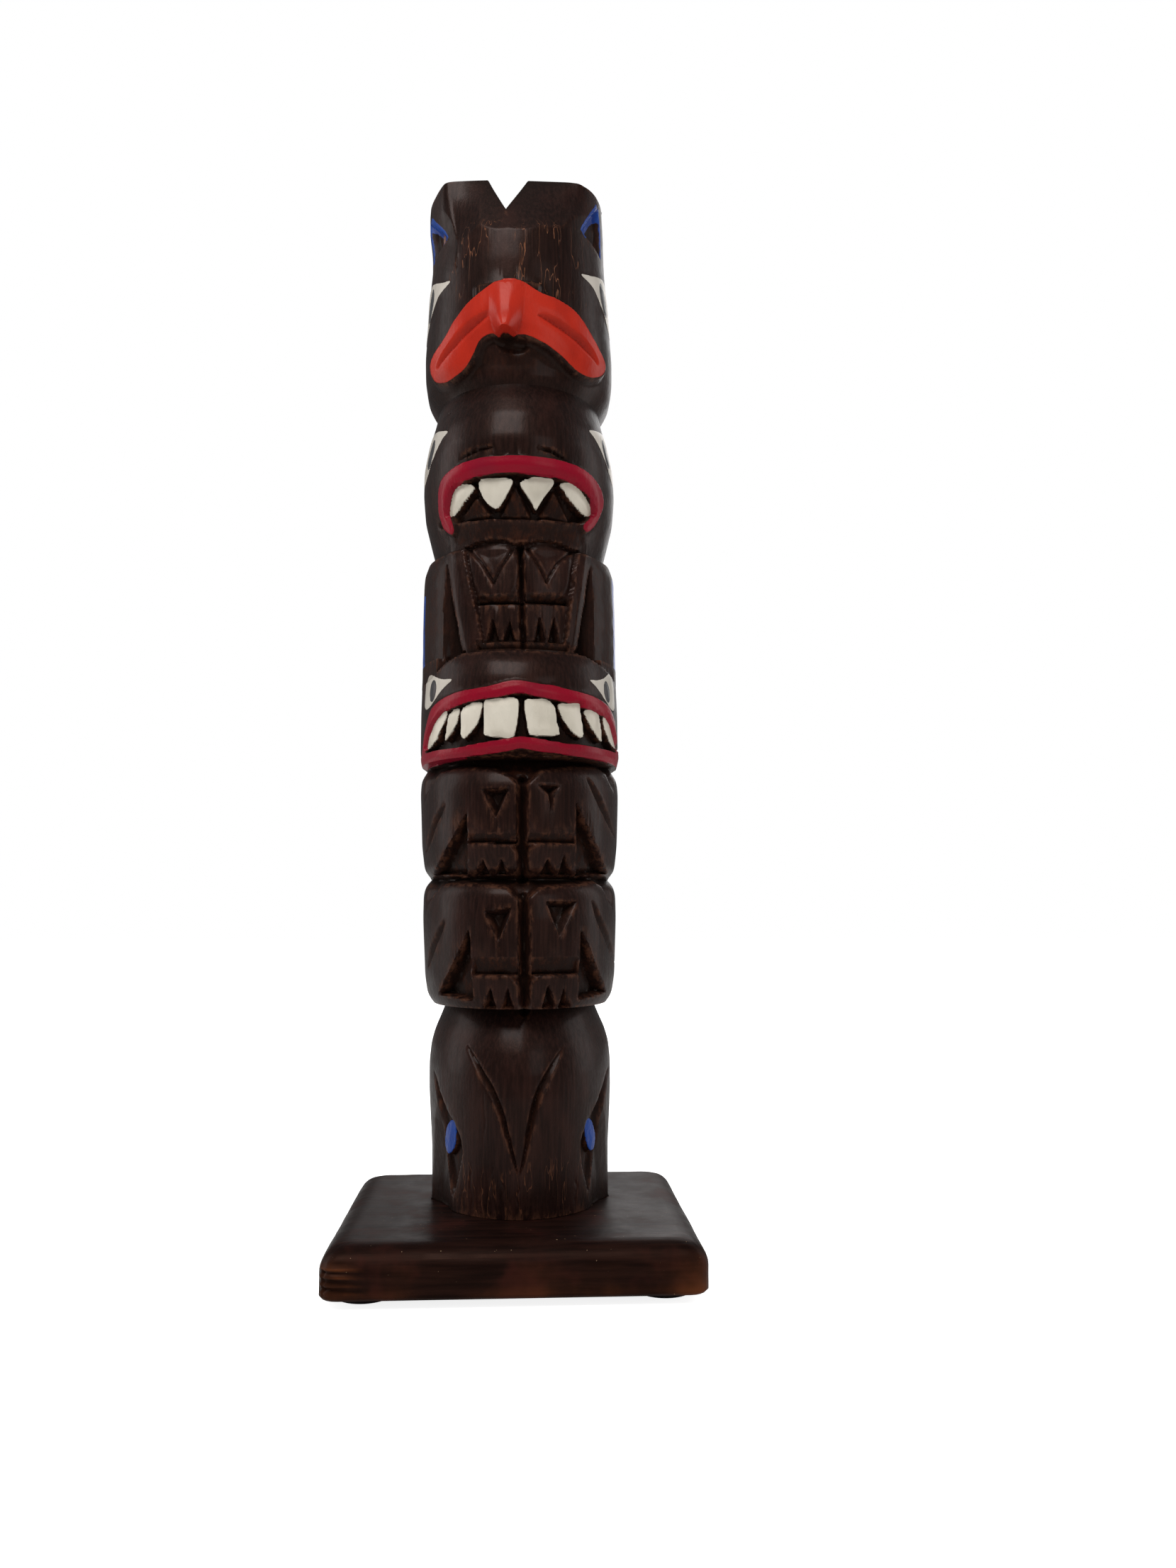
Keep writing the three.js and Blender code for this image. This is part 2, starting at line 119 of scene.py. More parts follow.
def segment_distance(px, pz, start, end):
    """Distance from a segment, and how far along it the nearest point lies."""
    (ax, az), (ex, ez) = start, np.subtract(end, start)
    along = np.clip(((px - ax) * ex + (pz - az) * ez) / max(ex * ex + ez * ez, 1e-9), 0, 1)
    return np.hypot(px - ax - ex * along, pz - az - ez * along), along


def outline_distance(px, pz, outline):
    """Signed distance from a closed outline, below zero inside it."""
    nearest = np.full(px.shape, np.inf)
    inside = np.zeros(px.shape, bool)
    for start, end in zip(outline, np.roll(outline, -1, axis=0)):
        nearest = np.minimum(nearest, segment_distance(px, pz, start, end)[0])
        (ax, az), (bx, bz) = start, end
        if az != bz:
            inside ^= ((az > pz) != (bz > pz)) & (px < (bx - ax) * (pz - az) / (bz - az) + ax)
    return np.where(inside, -nearest, nearest)


def step(value):
    """Smooth step from 0 to 1 as the value goes from 0 to 1."""
    t = np.clip(value, 0, 1)
    return t * t * (3 - 2 * t)


def soft_noise(rows, columns, cell, seed):
    """Seeded waviness over a grid, about -1 to 1, with cells of so many rows and columns."""
    coarse = np.random.default_rng(seed).uniform(
        -1, 1, (int(rows / cell[0]) + 3, int(columns / cell[1]) + 3))
    r, c = np.arange(rows) / cell[0], np.arange(columns) / cell[1]
    ri, ci = r.astype(int), c.astype(int)
    rf, cf = step(r - ri)[:, None], step(c - ci)[None, :]
    upper = coarse[ri][:, ci] * (1 - cf) + coarse[ri][:, ci + 1] * cf
    lower = coarse[ri + 1][:, ci] * (1 - cf) + coarse[ri + 1][:, ci + 1] * cf
    return upper * (1 - rf) + lower * rf


def blurred(field, radius):
    """Mean over a square of grid points."""
    for axis in (0, 1):
        shifted = [np.roll(field, shift, axis) for shift in range(-radius, radius + 1)]
        field = sum(shifted) / len(shifted)
    return field


# ---- The log as a grid that is carved ------------------------------------------------------
FAR = 4.0                             # a paint distance that is surely outside
WANDER = {"most": 0.16, "cell": (9, 11), "seeds": (3, 4)}     # how far a hand-cut line strays
EASING_PASSES = 14                    # that round the corners of a figure's profile
ROW_MARGIN = 3.0                      # reach of a cut beyond its outline
MIDDLE_SPACING = 0.78                 # spacing of columns in the middle of the front, to the mean
BACK_GAP, BACK_REACH = 0.5, 20        # how far aside of the outline the back is taken to lie
CROWN_WIDTH = 2.2                     # over which a raised form rises to its crown
PAINT_STEP = 0.5                      # over which a coat's own thickness ends
TAPER = 3.2                           # a cut runs out over its length divided by this


class Carving:
    """The log's skin as a grid of rows up the pole and columns round it, carved by distances."""

    def __init__(self, row_spacing, columns):
        rows = [row for _, figure_rows in FIGURES.values() for row in figure_rows]
        powers = [power for power, figure_rows in FIGURES.values() for _ in figure_rows]
        knots, halves, fronts = (np.array(values, float) for values in zip(*rows))
        counts = np.maximum(1, np.ceil(np.diff(knots) / row_spacing)).astype(int)
        levels = [np.linspace(low, high, count, endpoint=False)
                  for low, high, count in zip(knots, knots[1:], counts)]
        self.level = np.concatenate(levels + [knots[-1:]])
        half = np.interp(self.level, knots, halves)
        front = np.interp(self.level, knots, fronts)
        for _, figure_rows in FIGURES.values():
            within = (self.level >= figure_rows[0][0]) & (self.level <= figure_rows[-1][0])
            for profile in (half, front):
                profile[within] = self.eased(profile[within])
        power = np.interp(self.level, knots, powers)[:, None]
        half, front = half[:, None], front[:, None]
        # The front runs from the left side to the right one, closer together in the middle.
        turn = np.linspace(-1, 1, columns + 1)
        turn = turn * (MIDDLE_SPACING + (1 - MIDDLE_SPACING) * np.abs(turn))
        sine, cosine = np.sin(turn * math.pi / 2), np.cos(turn * math.pi / 2)
        across = np.sign(sine) * np.abs(sine) ** (2 / power)
        ahead = np.abs(cosine) ** (2 / power)
        behind = (1 - np.minimum(np.abs(across), 1) ** BACK_CORNER_POWER) ** (1 / BACK_CORNER_POWER)
        front_x, front_y = half * across, WIDEST - (WIDEST - front) * ahead
        back_y = WIDEST + (BACK - WIDEST) * behind
        self.x = np.hstack([front_x, front_x[:, -2::-1]])
        self.y = np.hstack([front_y, back_y[:, -2::-1]])
        self.z = np.repeat(self.level[:, None], self.x.shape[1], axis=1)
        self.is_front = np.arange(self.x.shape[1]) <= columns
        self.columns = columns
        self.normals()
        self.measure_round()
        shape = self.x.shape
        drift = [WANDER["most"] * soft_noise(*shape, WANDER["cell"], seed)
                 for seed in WANDER["seeds"]]
        self.seen_z = self.z + drift[0]
        self.drift = drift[1]
        self.relief = np.zeros(shape)
        self.pushed = np.full(shape, -1e3)
        self.bare = np.zeros(shape)
        self.paint = {name: np.full(shape, FAR) for name in PAINTS}

    @staticmethod
    def eased(values):
        """The same profile with its corners eased and its ends kept."""
        for _ in range(EASING_PASSES):
            values[1:-1] = (values[:-2] + 2 * values[1:-1] + values[2:]) / 4
        return values

    def normals(self):
        """The level direction that points out of the log, at each point."""
        along_x = np.gradient(self.x, axis=1)
        along_y = np.gradient(self.y, axis=1)
        length = np.maximum(np.hypot(along_x, along_y), 1e-9)
        self.out_x, self.out_y = along_y / length, -along_x / length

    def measure_round(self):
        """Arc length round the log from the middle of its front, positive to the right."""
        spacing = np.hypot(np.diff(self.x, axis=1), np.diff(self.y, axis=1))
        total = np.hstack([np.zeros((len(self.x), 1)), np.cumsum(spacing, axis=1)])
        middle = self.columns // 2
        reach = total - total[:, middle:middle + 1]
        round_trip = total[:, -1:]
        self.around = np.where(reach > round_trip / 2, reach - round_trip, reach)

    def seen_x(self, proud):
        """x of the skin when it stands so far proud, and far away on the back."""
        x = self.x + proud * self.out_x + self.drift
        side = np.sign(self.around) * (np.abs(self.x[:, :1]) + BACK_GAP)
        behind = side + np.sign(self.around) * np.minimum(np.abs(self.y - WIDEST), BACK_REACH)
        return np.where(self.is_front[None, :], x, behind)

    def window(self, low, high):
        """The rows that something between two heights can touch."""
        first, last = np.searchsorted(self.level, [low - ROW_MARGIN, high + ROW_MARGIN])
        return slice(first, last)

    def distance(self, outline, proud=0.0, around=False):
        """Rows touched by an outline and their signed distances from it."""
        outline = np.asarray(outline, float)
        rows = self.window(outline[:, 1].min(), outline[:, 1].max())
        across = self.around + self.drift if around else self.seen_x(proud)
        return rows, outline_distance(across[rows], self.seen_z[rows], outline)

    def level_to(self, outline, level, wall, around=False, bare=0.0, crown=0.0, paint=None,
                 proud=None):
        """Brings the skin inside an outline to a level, over a wall outside it."""
        rows, away = self.distance(outline, level if proud is None else proud, around)
        share = 1 - step(away / wall)
        height = level + crown * step(-away / CROWN_WIDTH)
        self.relief[rows] += (height - self.relief[rows]) * share
        self.bare[rows] += (bare - self.bare[rows]) * share
        if paint:
            self.brush(rows, away, paint)

    def brush(self, rows, away, paint):
        """Lays one paint over any other where the distance is below zero."""
        self.paint[paint][rows] = np.minimum(self.paint[paint][rows], away)
        for other in set(self.paint) - {paint}:
            self.paint[other][rows] = np.maximum(self.paint[other][rows], -away)

    def coat(self, outline, paint, around=False, thickness=0.0):
        """Paints inside an outline, with a coat so thick."""
        rows, away = self.distance(outline, around=around)
        self.relief[rows] += thickness * (1 - step(away / PAINT_STEP + 0.5))
        self.brush(rows, away, paint)

    def sink(self, outline, depth, slope=0.5, bare=1.0, around=False, proud=0.0):
        """Cuts down inside an outline, deeper away from its edge until the full depth."""
        rows, away = self.distance(outline, proud, around)
        share = np.clip(-away / slope, 0, 1)
        self.relief[rows] -= depth * share
        self.bare[rows] = np.maximum(self.bare[rows], bare * step(share * 2))

    def knife_cut(self, line, width, depth, tapers=(True, True), bare=0.6, around=False,
                  proud=0.0, curved=True):
        """A cut of V section along a line, run out to nothing at its tapered ends."""
        path = rounded(line, 5, closed=False) if curved else np.asarray(line, float)
        rows = self.window(path[:, 1].min(), path[:, 1].max())
        across = (self.around + self.drift if around else self.seen_x(proud))[rows]
        best = np.full(across.shape, np.inf)
        place = np.zeros(across.shape)
        for i, (start, end) in enumerate(zip(path, path[1:])):
            away, along = segment_distance(across, self.seen_z[rows], start, end)
            nearer = away < best
            best = np.where(nearer, away, best)
            place = np.where(nearer, (i + along) / (len(path) - 1), place)
        fade = np.ones(across.shape)
        for tapered, along in zip(tapers, (place, 1 - place)):
            if tapered:
                fade = np.minimum(fade, np.sqrt(np.clip(along * TAPER, 0, 1)))
        share = np.clip(1 - best / np.maximum(width / 2 * fade, 1e-6), 0, 1)
        self.relief[rows] -= depth * fade * share
        self.bare[rows] = np.maximum(self.bare[rows], bare * step(share * 3))

    def push_back(self, outline, depth, bare=0.0):
        """Cuts straight back to a depth inside an outline seen from the front."""
        rows, away = self.distance(outline)
        inside = away < 0
        self.pushed[rows] = np.where(inside, np.maximum(self.pushed[rows], depth[rows]),
                                     self.pushed[rows])
        self.bare[rows] = np.where(inside, np.maximum(self.bare[rows], bare), self.bare[rows])

    def wedge(self, left, right, top, foot, depth, bare=1.0):
        """A shelf cut that slopes in from its top edge and ends in a sharp step at its foot."""
        outline = [(left, foot), (right, foot), (right, top), (left, top)]
        rows, away = self.distance(outline)
        share = np.clip((top - self.seen_z[rows]) / (top - foot), 0, 1) * (away < 0)
        self.relief[rows] -= depth * share
        self.bare[rows] = np.maximum(self.bare[rows], bare * (away < 0))

    def surface(self):
        """Grid points of the carved skin, with the two sides of the seam made one."""
        for field in (self.relief, self.bare, *self.paint.values()):
            field[:, -1] = field[:, 0]
        x = self.x + self.relief * self.out_x
        y = self.y + self.relief * self.out_y
        y = np.where(self.is_front[None, :], np.maximum(y, np.minimum(self.pushed, WIDEST)), y)
        return x, y, self.z.copy()


# ---- Beaked head ---------------------------------------------------------------------------
RIDGE_X = -3.2
# The beak: height, half width, and how far its ridge stands out.
BEAK = [(268.4, 8, 2.2), (265, 7.8, 3.4), (261, 7, 4.7), (257, 5.8, 6), (254.4, 4.8, 7),
        (252.8, 3.9, 7.5), (251.9, 2.9, 7.6), (251.4, 1.8, 7.2)]
WING_RISE = 2.2
WING_WALLS = (0.7, 1.7)               # width of its wall above the brow line, and below it
BROW_LINE = (262, 0.62)               # height in the middle, and fall to each side
WINGS = [(-25.5, 248), (-24.8, 250.8), (-21.7, 253.9), (-18.4, 258.2), (-14.6, 262), (-10.4, 264.8),
         (-6.8, 266.8), (-2.9, 267.8), (1, 266.9), (4.4, 265), (7, 263.9), (9.8, 263.5),
         (13.8, 262.2), (17, 260.2), (19.6, 257.6), (22.6, 253.8), (24.7, 250.6), (24.6, 248.2),
         (23.1, 246), (20.3, 244.5), (16.5, 244.6), (12.8, 246.6), (8.8, 249.3), (3.3, 251.5),
         (-2.4, 252), (-7.7, 252.4), (-10.6, 251.1), (-12.2, 248.6), (-13.8, 245.7), (-16.4, 243.6),
         (-19.6, 242.5), (-22.4, 243), (-24.4, 244.6)]
WING_GROOVES = ([(-6.4, 259), (-12, 256), (-18, 251.6), (-23.6, 246.6)],
                [(5, 257.6), (9, 256.6), (14, 254.4), (19.6, 251.2), (22.6, 248.4)])
UNDER_BEAK = [(-6.5, 250.8), (-1.8, 252.4), (3.2, 250.6), (1.4, 247.8), (-4.4, 248)]
THROAT = [(-16, 243.4), (-9, 248.6), (-4, 250), (4, 250), (10, 246.4), (15, 243.6), (8, 242.4),
          (-8, 242.4)]
TOP_CORNERS = {"left": 1.0, "right": 0.3, "foot": 288}        # how far they stand off the log


def carve_beaked_head(log):
    carve_wings(log)
    carve_beak(log)
    log.sink(rounded(UNDER_BEAK), 1.1, 1.6, bare=0.5)
    # The corners behind the ears are a little fuller than the log.
    arc = np.abs(log.around)
    most = np.where(log.around > 0, TOP_CORNERS["right"], TOP_CORNERS["left"])
    rise = step((log.z - TOP_CORNERS["foot"]) / 9)
    log.relief += most * rise * step((arc - 19) / 7) * (1 - step((arc - 36) / 9))
    carve_ears(log)
    paint_eye(log, EYE_TOP)
    log.sink(rounded(THROAT), 0.5, 2.5, bare=0.45)


def carve_wings(log):
    """The swelling that the beak grows out of, from side to side under the eyes."""
    rows, away = log.distance(rounded(WINGS), WING_RISE)
    above = log.seen_z[rows] > BROW_LINE[0] - BROW_LINE[1] * np.abs(log.x[rows])
    share = 1 - step(away / np.where(above, *WING_WALLS))
    belly = WING_RISE + 0.5 * step(-away / 4)
    log.relief[rows] = np.maximum(log.relief[rows], belly * share)
    log.paint["vermilion"][rows] = np.minimum(log.paint["vermilion"][rows], away)
    for groove in WING_GROOVES:
        log.knife_cut(groove, 3.2, 1.6, bare=0, proud=WING_RISE)


def carve_beak(log):
    heights, halves, rises = rounded(BEAK, 6, closed=False)[::-1].T
    rows = log.window(heights[0] - 1, heights[-1])
    z = log.seen_z[rows]
    half, rise = (np.interp(z, heights, values) for values in (halves, rises))
    aside = np.abs(log.seen_x(0)[rows] - RIDGE_X) / half
    edge_rise = WING_RISE * 0.7
    swell = edge_rise + (rise - edge_rise) * (1 - step((aside - 0.1) / 0.9))
    share = (1 - step((aside - 1) * 4)) * step((z - heights[0]) / 0.5)
    share *= step((heights[-1] - z) / 1.6)
    log.relief[rows] = np.maximum(log.relief[rows], swell * share)
    tip = np.maximum((aside - 0.95) * half, heights[0] + 0.2 - z)
    painted = np.where(z < 264, tip, FAR)
    log.paint["vermilion"][rows] = np.minimum(log.paint["vermilion"][rows], painted)


# Each ear by x and height: its front foot, its tip and its outer foot, then the relative width of
# its slanted band of paint.
EARS = (((18, 288.6), (24.2, 302.4), (24.4, 286), 1.0),
        ((-20.4, 286.8), (-25.2, 299.4), (-25.2, 285), 0.6))
UNPAINTED_FOOT = [(-23.4, 291.4), (-22.6, 291.6), (-23.4, 286.6), (-24.2, 285.6)]


def carve_ears(log):
    for foot, tip, outer, wide in EARS:
        hand = math.copysign(1, foot[0])
        log.sink([foot, tip, outer], 1.8, 0.8)
        slant = [(foot[0] - 0.3 * hand, foot[1] + 0.2), (tip[0] - 0.6 * hand, tip[1] + 0.4),
                 (tip[0] + 0.3 * hand, tip[1] - 3.4 * wide),
                 (foot[0] + 1.4 * hand, foot[1] - 1.4 * wide)]
        upright = [(tip[0] - 0.15 * hand, tip[1]), (tip[0] + 0.15 * hand, tip[1]),
                   (outer[0] + 0.15 * hand, outer[1]), (outer[0] - 0.1 * hand, outer[1] + 0.6)]
        for band in (slant, upright):
            log.coat(band, "blue")
    log.coat(UNPAINTED_FOOT, "bare_pink")


# An eye: the outline of its white, then its pupil's centre and radii, by arc length and height.
# The left one stands off its mirrored place by so much.
EYE_TOP = {"white": [(19.6, 274.6), (24, 276), (29, 278), (33.2, 279.4), (36.8, 279), (39.4, 276),
                     (41, 271), (41.4, 265.8), (39.4, 263.8), (36, 265.4), (31.4, 268.8),
                     (26, 272.6)],
           "pupil": (32.4, 272.6, 2.6, 4.6), "tilt": -0.28, "left": (2.6, -2.4)}
EYE_MIDDLE = {"white": [(23.2, 228.6), (26, 229.8), (31, 231.4), (35, 232.2), (38.8, 231),
                        (41.8, 227), (43.2, 221.6), (42, 218), (38.6, 218), (34, 220.8),
                        (29.6, 224.4), (26, 227.2)],
              "pupil": (33.8, 225.2, 2.6, 4.2), "tilt": -0.3, "left": (0.2, -1.2)}
EYE_LOW = {"white": [(21.4, 156.4), (25, 157), (29, 158.4), (31.8, 160), (34.6, 159.6), (36.8, 157),
                     (37.6, 153.6), (37.6, 151.2), (35.8, 150), (33, 150.2), (30, 151.4),
                     (27.2, 153.2), (24, 155)],
           "pupil": (30.6, 154.6, 2.1, 3.1), "tilt": -0.16, "left": (-1.2, -0.5)}


def paint_eye(log, eye):
    s, z, wide, high = eye["pupil"]
    around = np.linspace(0, 2 * math.pi, 20, endpoint=False)

    def ring(grow, hand):
        x = (wide + grow) * np.cos(around)
        y = (high + grow) * np.sin(around)
        return np.column_stack([hand * (s + out + x + eye["tilt"] * y), z + up + y])

    for hand, (out, up) in ((-1, eye["left"]), (1, (0, 0))):
        white = rounded([(hand * (a + out), b + up) for a, b in eye["white"]])
        log.coat(white, "eye_white", around=True, thickness=0.12)
        log.sink(ring(1.2, hand), 0.45, 0.5, bare=0.6, around=True)
        log.level_to(ring(0.75, hand), 0.1, 0.5, around=True, crown=0.35, bare=0.4)
        log.coat(white, "eye_white", around=True)
        log.coat(ring(0, hand), "pupil_grey", around=True, thickness=-0.2)


# ---- Crown ---------------------------------------------------------------------------------
BLANK = {"half": 26.0, "front": -19.4}          # the uncarved log near its top
TOP_DEPTH = -8.2                      # depth of the top edge
# Foot of the slanted face, by x and height.
CREASE = [(-22.5, 292), (-19.7, 290.3), (-11, 286), (-2.8, 283.8), (6, 285), (13.8, 287.9),
          (18, 289.6), (22.5, 292)]
# Each shoulder: hand, x of the ridge it starts from, low and at the top, and x of its rim.
BEVELS = ((1, (13.6, 18.0), 26.6), (-1, (18.4, 20.6), 27.4))
BEVEL_POWER = 1.8
RIDGE_LOW = 291.0                     # height of the ridges' low ends
CREASE_FOOT = 283.0                   # below it, the rows lie level
CUT_FOOT = 276.0                      # below it, nothing is cut off the log
NOTCH = {"x": -3.7, "bottom": 291.9, "left_slope": 2.4, "right_slope": 2.0, "rounding": 1.1}
TIP_SLOPE = 0.07                      # fall of the left tip towards its side
# Each tip: the x where its top edge starts to round down, over how much, and by how much.
TIP_DROPS = ((-1, 18.5, 6, 1.1), (1, 14, 6, 0.7))
# Each tip: the height where its side starts to draw in, and by how much.
TIP_SIDES = ((1, 284, 1.0), (-1, 300, 0.3))


def blank_depth(x):
    """Depth of the uncarved log's front near its top."""
    ahead = np.sqrt(np.clip(1 - (x / BLANK["half"]) ** 2, 0, 1))
    return WIDEST - (WIDEST - BLANK["front"]) * ahead


def shape_crown(log, x, y, z):
    """The slanted face between the ears, ruled from its crease to a level top edge, and a
    rounded shoulder outside it on each hand."""
    crease_x, crease_z = np.array(CREASE, float).T
    slopes = np.clip((TOP_DEPTH - blank_depth(crease_x)) / (POLE_TOP - crease_z), 0, 1)

    def slanted(across):
        return TOP_DEPTH - np.interp(across, crease_x, slopes) * (POLE_TOP - z)

    plane = slanted(x)
    up = np.clip((z - RIDGE_LOW) / (POLE_TOP - RIDGE_LOW), -0.5, 1)
    for hand, (edge_low, edge_high), rim in BEVELS:
        edge = edge_low + (edge_high - edge_low) * up
        edge_y = np.maximum(slanted(hand * edge), blank_depth(edge))
        share = np.clip((hand * x - edge) / (rim - edge), 0, 1) ** BEVEL_POWER
        bevel = edge_y + (WIDEST - edge_y) * (1 - (1 - share) ** (1 / BEVEL_POWER))
        plane = np.where(hand * x > edge, bevel, plane)
    cut = (z > CUT_FOOT) & log.is_front[None, :]
    return np.where(cut, np.maximum(y, np.minimum(plane, WIDEST)), y)


def top_height(x):
    """Height of the pole's top across its width: two level tips and the V between them."""
    level = POLE_TOP - 0.1 - TIP_SLOPE * np.maximum(-x - 4, 0)
    for hand, start, wide, drop in TIP_DROPS:
        level -= drop * np.clip((hand * x - start) / wide, 0, 1) ** 2
    beside = x - NOTCH["x"]
    slope = np.where(beside < 0, -NOTCH["left_slope"], NOTCH["right_slope"])
    valley = NOTCH["bottom"] + beside * slope
    gap = NOTCH["rounding"]
    blend = np.clip(0.5 + 0.5 * (valley - level) / gap, 0, 1)
    return valley * (1 - blend) + level * blend - gap * blend * (1 - blend) / 2


# ---- Fanged head ---------------------------------------------------------------------------
FANGED_LIP = [(-1, 216.2), (-10.3, 216.2), (-15.8, 215.8), (-19.7, 214.6), (-21.7, 213),
              (-22.8, 209.4), (-22.5, 204.7), (-21.2, 200.8), (-19.4, 198.5), (-18.3, 199),
              (-18.6, 201.4), (-19.6, 204.8), (-19.5, 208.4), (-17.7, 210.4), (-13.6, 211.3),
              (-9.9, 211.6), (-1.8, 211.9), (4.3, 211.6), (12.7, 211.3), (17.1, 210.4), (20, 208.5),
              (20.8, 205.7), (19.6, 203.2), (18, 201.4), (17.8, 200.2), (18.9, 199.6),
              (20.6, 201.1), (22.8, 204.9), (23.9, 209.6), (22.4, 213), (18.5, 215.3),
              (12.7, 216.2), (4.3, 216.2)]
FANGED_MOUTH = [(-19.4, 202.6), (-19.8, 208.2), (-17.8, 210.6), (-13.6, 211.5), (-1.8, 212.1),
                (4.3, 211.8), (12.7, 211.5), (17.2, 210.6), (20.2, 208.4), (20.9, 205.6),
                (18.2, 202.5), (9, 201.2), (0.5, 200.7), (-9, 201)]
FANGS = (
    [(-17.8, 209.8), (-15.5, 210.8), (-13, 210.2), (-12.4, 208.8), (-15.2, 206.2), (-16.8, 204.2),
     (-18.3, 203.1), (-19.2, 204), (-18.8, 207.3)],
    [(-11.2, 210.3), (-9, 211.2), (-2.8, 210.9), (-1.7, 209.6), (-4, 205.7), (-5.9, 203.4),
     (-7.5, 203.8), (-10, 206.4)],
    [(0.2, 209.9), (3.4, 211.2), (8.6, 211.3), (9.5, 210.1), (6.9, 206.4), (4.6, 203), (3.5, 204.6),
     (1.2, 207.6)],
    [(11.2, 210.2), (12.4, 211), (15, 210.9), (17.8, 209.3), (19.9, 206.7), (20.1, 204.9),
     (18.6, 204.1), (16, 205.4), (13.3, 207.7)],
)
NOSE_CUTS = ([(-16.4, 217.4), (-12, 218.9), (-6.6, 219.2)], [(4.4, 218.9), (9, 218.5), (13.6, 217)])
CHIN = [(-18, 200.6), (-9, 199.8), (0, 199.4), (9, 199.8), (17, 200.6), (17, 195.4), (0, 194),
        (-17, 195)]
BROW_NICK = [(-20.6, 234), (-19.9, 234.3), (-19.2, 234), (-19.9, 233.6)]
# A low hump of brown wood left in each gap between two fangs: x, height of its foot and top.
FANG_GAPS = [(-12.4, 202.2, 206.4), (-1.1, 201.6, 208.4), (10, 202, 207.6), (-17.6, 202.4, 203.8)]


def carve_fanged_head(log):
    mouth, lip = rounded(FANGED_MOUTH), rounded(FANGED_LIP, 3)
    log.level_to(mouth, -2.9, 0.4, bare=1, proud=0)
    for x, foot, apex in FANG_GAPS:
        log.level_to([(x - 3.4, foot), (x + 3.4, foot), (x, apex)], -1.7, 1.5, bare=0.9, proud=-1)
    log.level_to(lip, 1.1, 0.55, crown=0.35, proud=1, paint="crimson")
    for fang in FANGS:
        log.level_to(rounded(fang, 2), -0.35, 0.4, crown=0.35, proud=-0.4, bare=1, paint="ivory")
    for cut in NOSE_CUTS:
        log.knife_cut(cut, 1.4, 1.1, bare=0)
    log.sink(rounded(CHIN), 0.35, 1.5, bare=0.75)
    log.sink(BROW_NICK, 0.8, 0.3)
    paint_eye(log, EYE_MIDDLE)


# ---- Chest with two arms -------------------------------------------------------------------
LEFT_ARM = [(-20.8, 194.6), (-15.5, 194.6), (-15.3, 191.5), (-10.4, 167), (-11.4, 164.9),
            (-15.8, 164.9)]
RIGHT_ARM = [(17, 194.6), (20.4, 194.6), (16.1, 167), (15.4, 164.9), (12.4, 165.6), (13.2, 168.8)]
CHEST_PANEL = [(-16, 194), (-10.6, 166.6), (13, 167), (17.4, 194)]
CHEST_LOBES = ([(-14.4, 193.4), (-11.6, 179.4), (-0.9, 179.2), (-0.5, 193.4)],
               [(1.8, 193.4), (2.2, 179.4), (12.8, 179.6), (14.8, 193.4)])
SLABS = (
    [(-20.8, 194), (-15.8, 165), (-14.4, 164.2), (-20, 161.6), (-25, 157.4), (-60, 154.4),
     (-60, 194)],
    [(20.4, 194), (16.1, 167), (15, 164.8), (21, 162.4), (25, 160.4), (28, 158), (60, 155),
     (60, 194)],
)
SLAB_DEPTH, SLAB_CORNER = -8.6, 22.8  # depth of a slab's face, and x where it turns to the side
FEATHERS = ([(-13.8, 193.4), (-10.4, 189.2), (-7.1, 183.4), (-4.6, 188.2), (-1.8, 192.8)],
            [(2.2, 193), (5, 188.4), (7.4, 183.8), (10.4, 189.2), (14.4, 193.6)])


def carve_chest(log):
    shape = log.x.shape
    ridges = 0.16 * soft_noise(*shape, (60, 5), 11) + 0.3 * soft_noise(*shape, (30, 12), 12)
    away = np.abs(log.x) - SLAB_CORNER
    depth = SLAB_DEPTH + ridges + np.where(away > 0, 2.1, -0.15) * away
    for slab in SLABS:
        log.push_back(slab, depth, bare=0.5)
    log.level_to(CHEST_PANEL, -1.3, 0.4, proud=0)
    for lobe in CHEST_LOBES:
        log.level_to(rounded(lobe), -1.3, 0.5, crown=0.7, proud=-1)
    for feather in FEATHERS:
        log.sink(feather, 0.45, 2.2, bare=0.2, proud=-1)
        for arm in (feather[:3], feather[2:]):
            log.knife_cut(arm, 1.3, 0.8, (False, False), bare=0.5, proud=-1, curved=False)
    log.wedge(-12.4, -0.2, 179.8, 177.4, 1.5)
    log.wedge(1.4, 14.2, 180.2, 177.8, 1.5)
    log.knife_cut([(-13, 177.5), (0.8, 177.5), (14, 178.1)], 1.1, 0.9, (False, False))
    log.knife_cut([(0.3, 193.4), (0.6, 180), (1, 165.2)], 2.1, 2.2, (False, False))
    claws(log, ((-7.7, 173.2, 3.4), (-2.9, 172.2, 3.2), (5.8, 173.7, 3), (9.9, 174, 3)), 166.6, 2.4)
    for arm in (LEFT_ARM, RIGHT_ARM):
        log.level_to(rounded(arm, 3), 0.0, 0.5, crown=0.5, proud=0)
    log.wedge(-11.6, 13.4, 167.4, 164.6, 1.2)
    for hand, top in ((-1, 184), (1, 190)):
        flank = [(36, top), (47, top - 0.6), (47, 162), (36.4, 163)]
        log.coat([(hand * s, z) for s, z in flank], "blue", around=True)


def claws(log, notches, foot, depth):
    """Narrow upright chips that part a panel into claws: each slopes in from left and right."""
    for x, apex, width in notches:
        half = width * 0.6
        log.sink([(x - half, foot), (x + half, foot), (x + 0.2, apex), (x - 0.2, apex)], depth, 0.9)


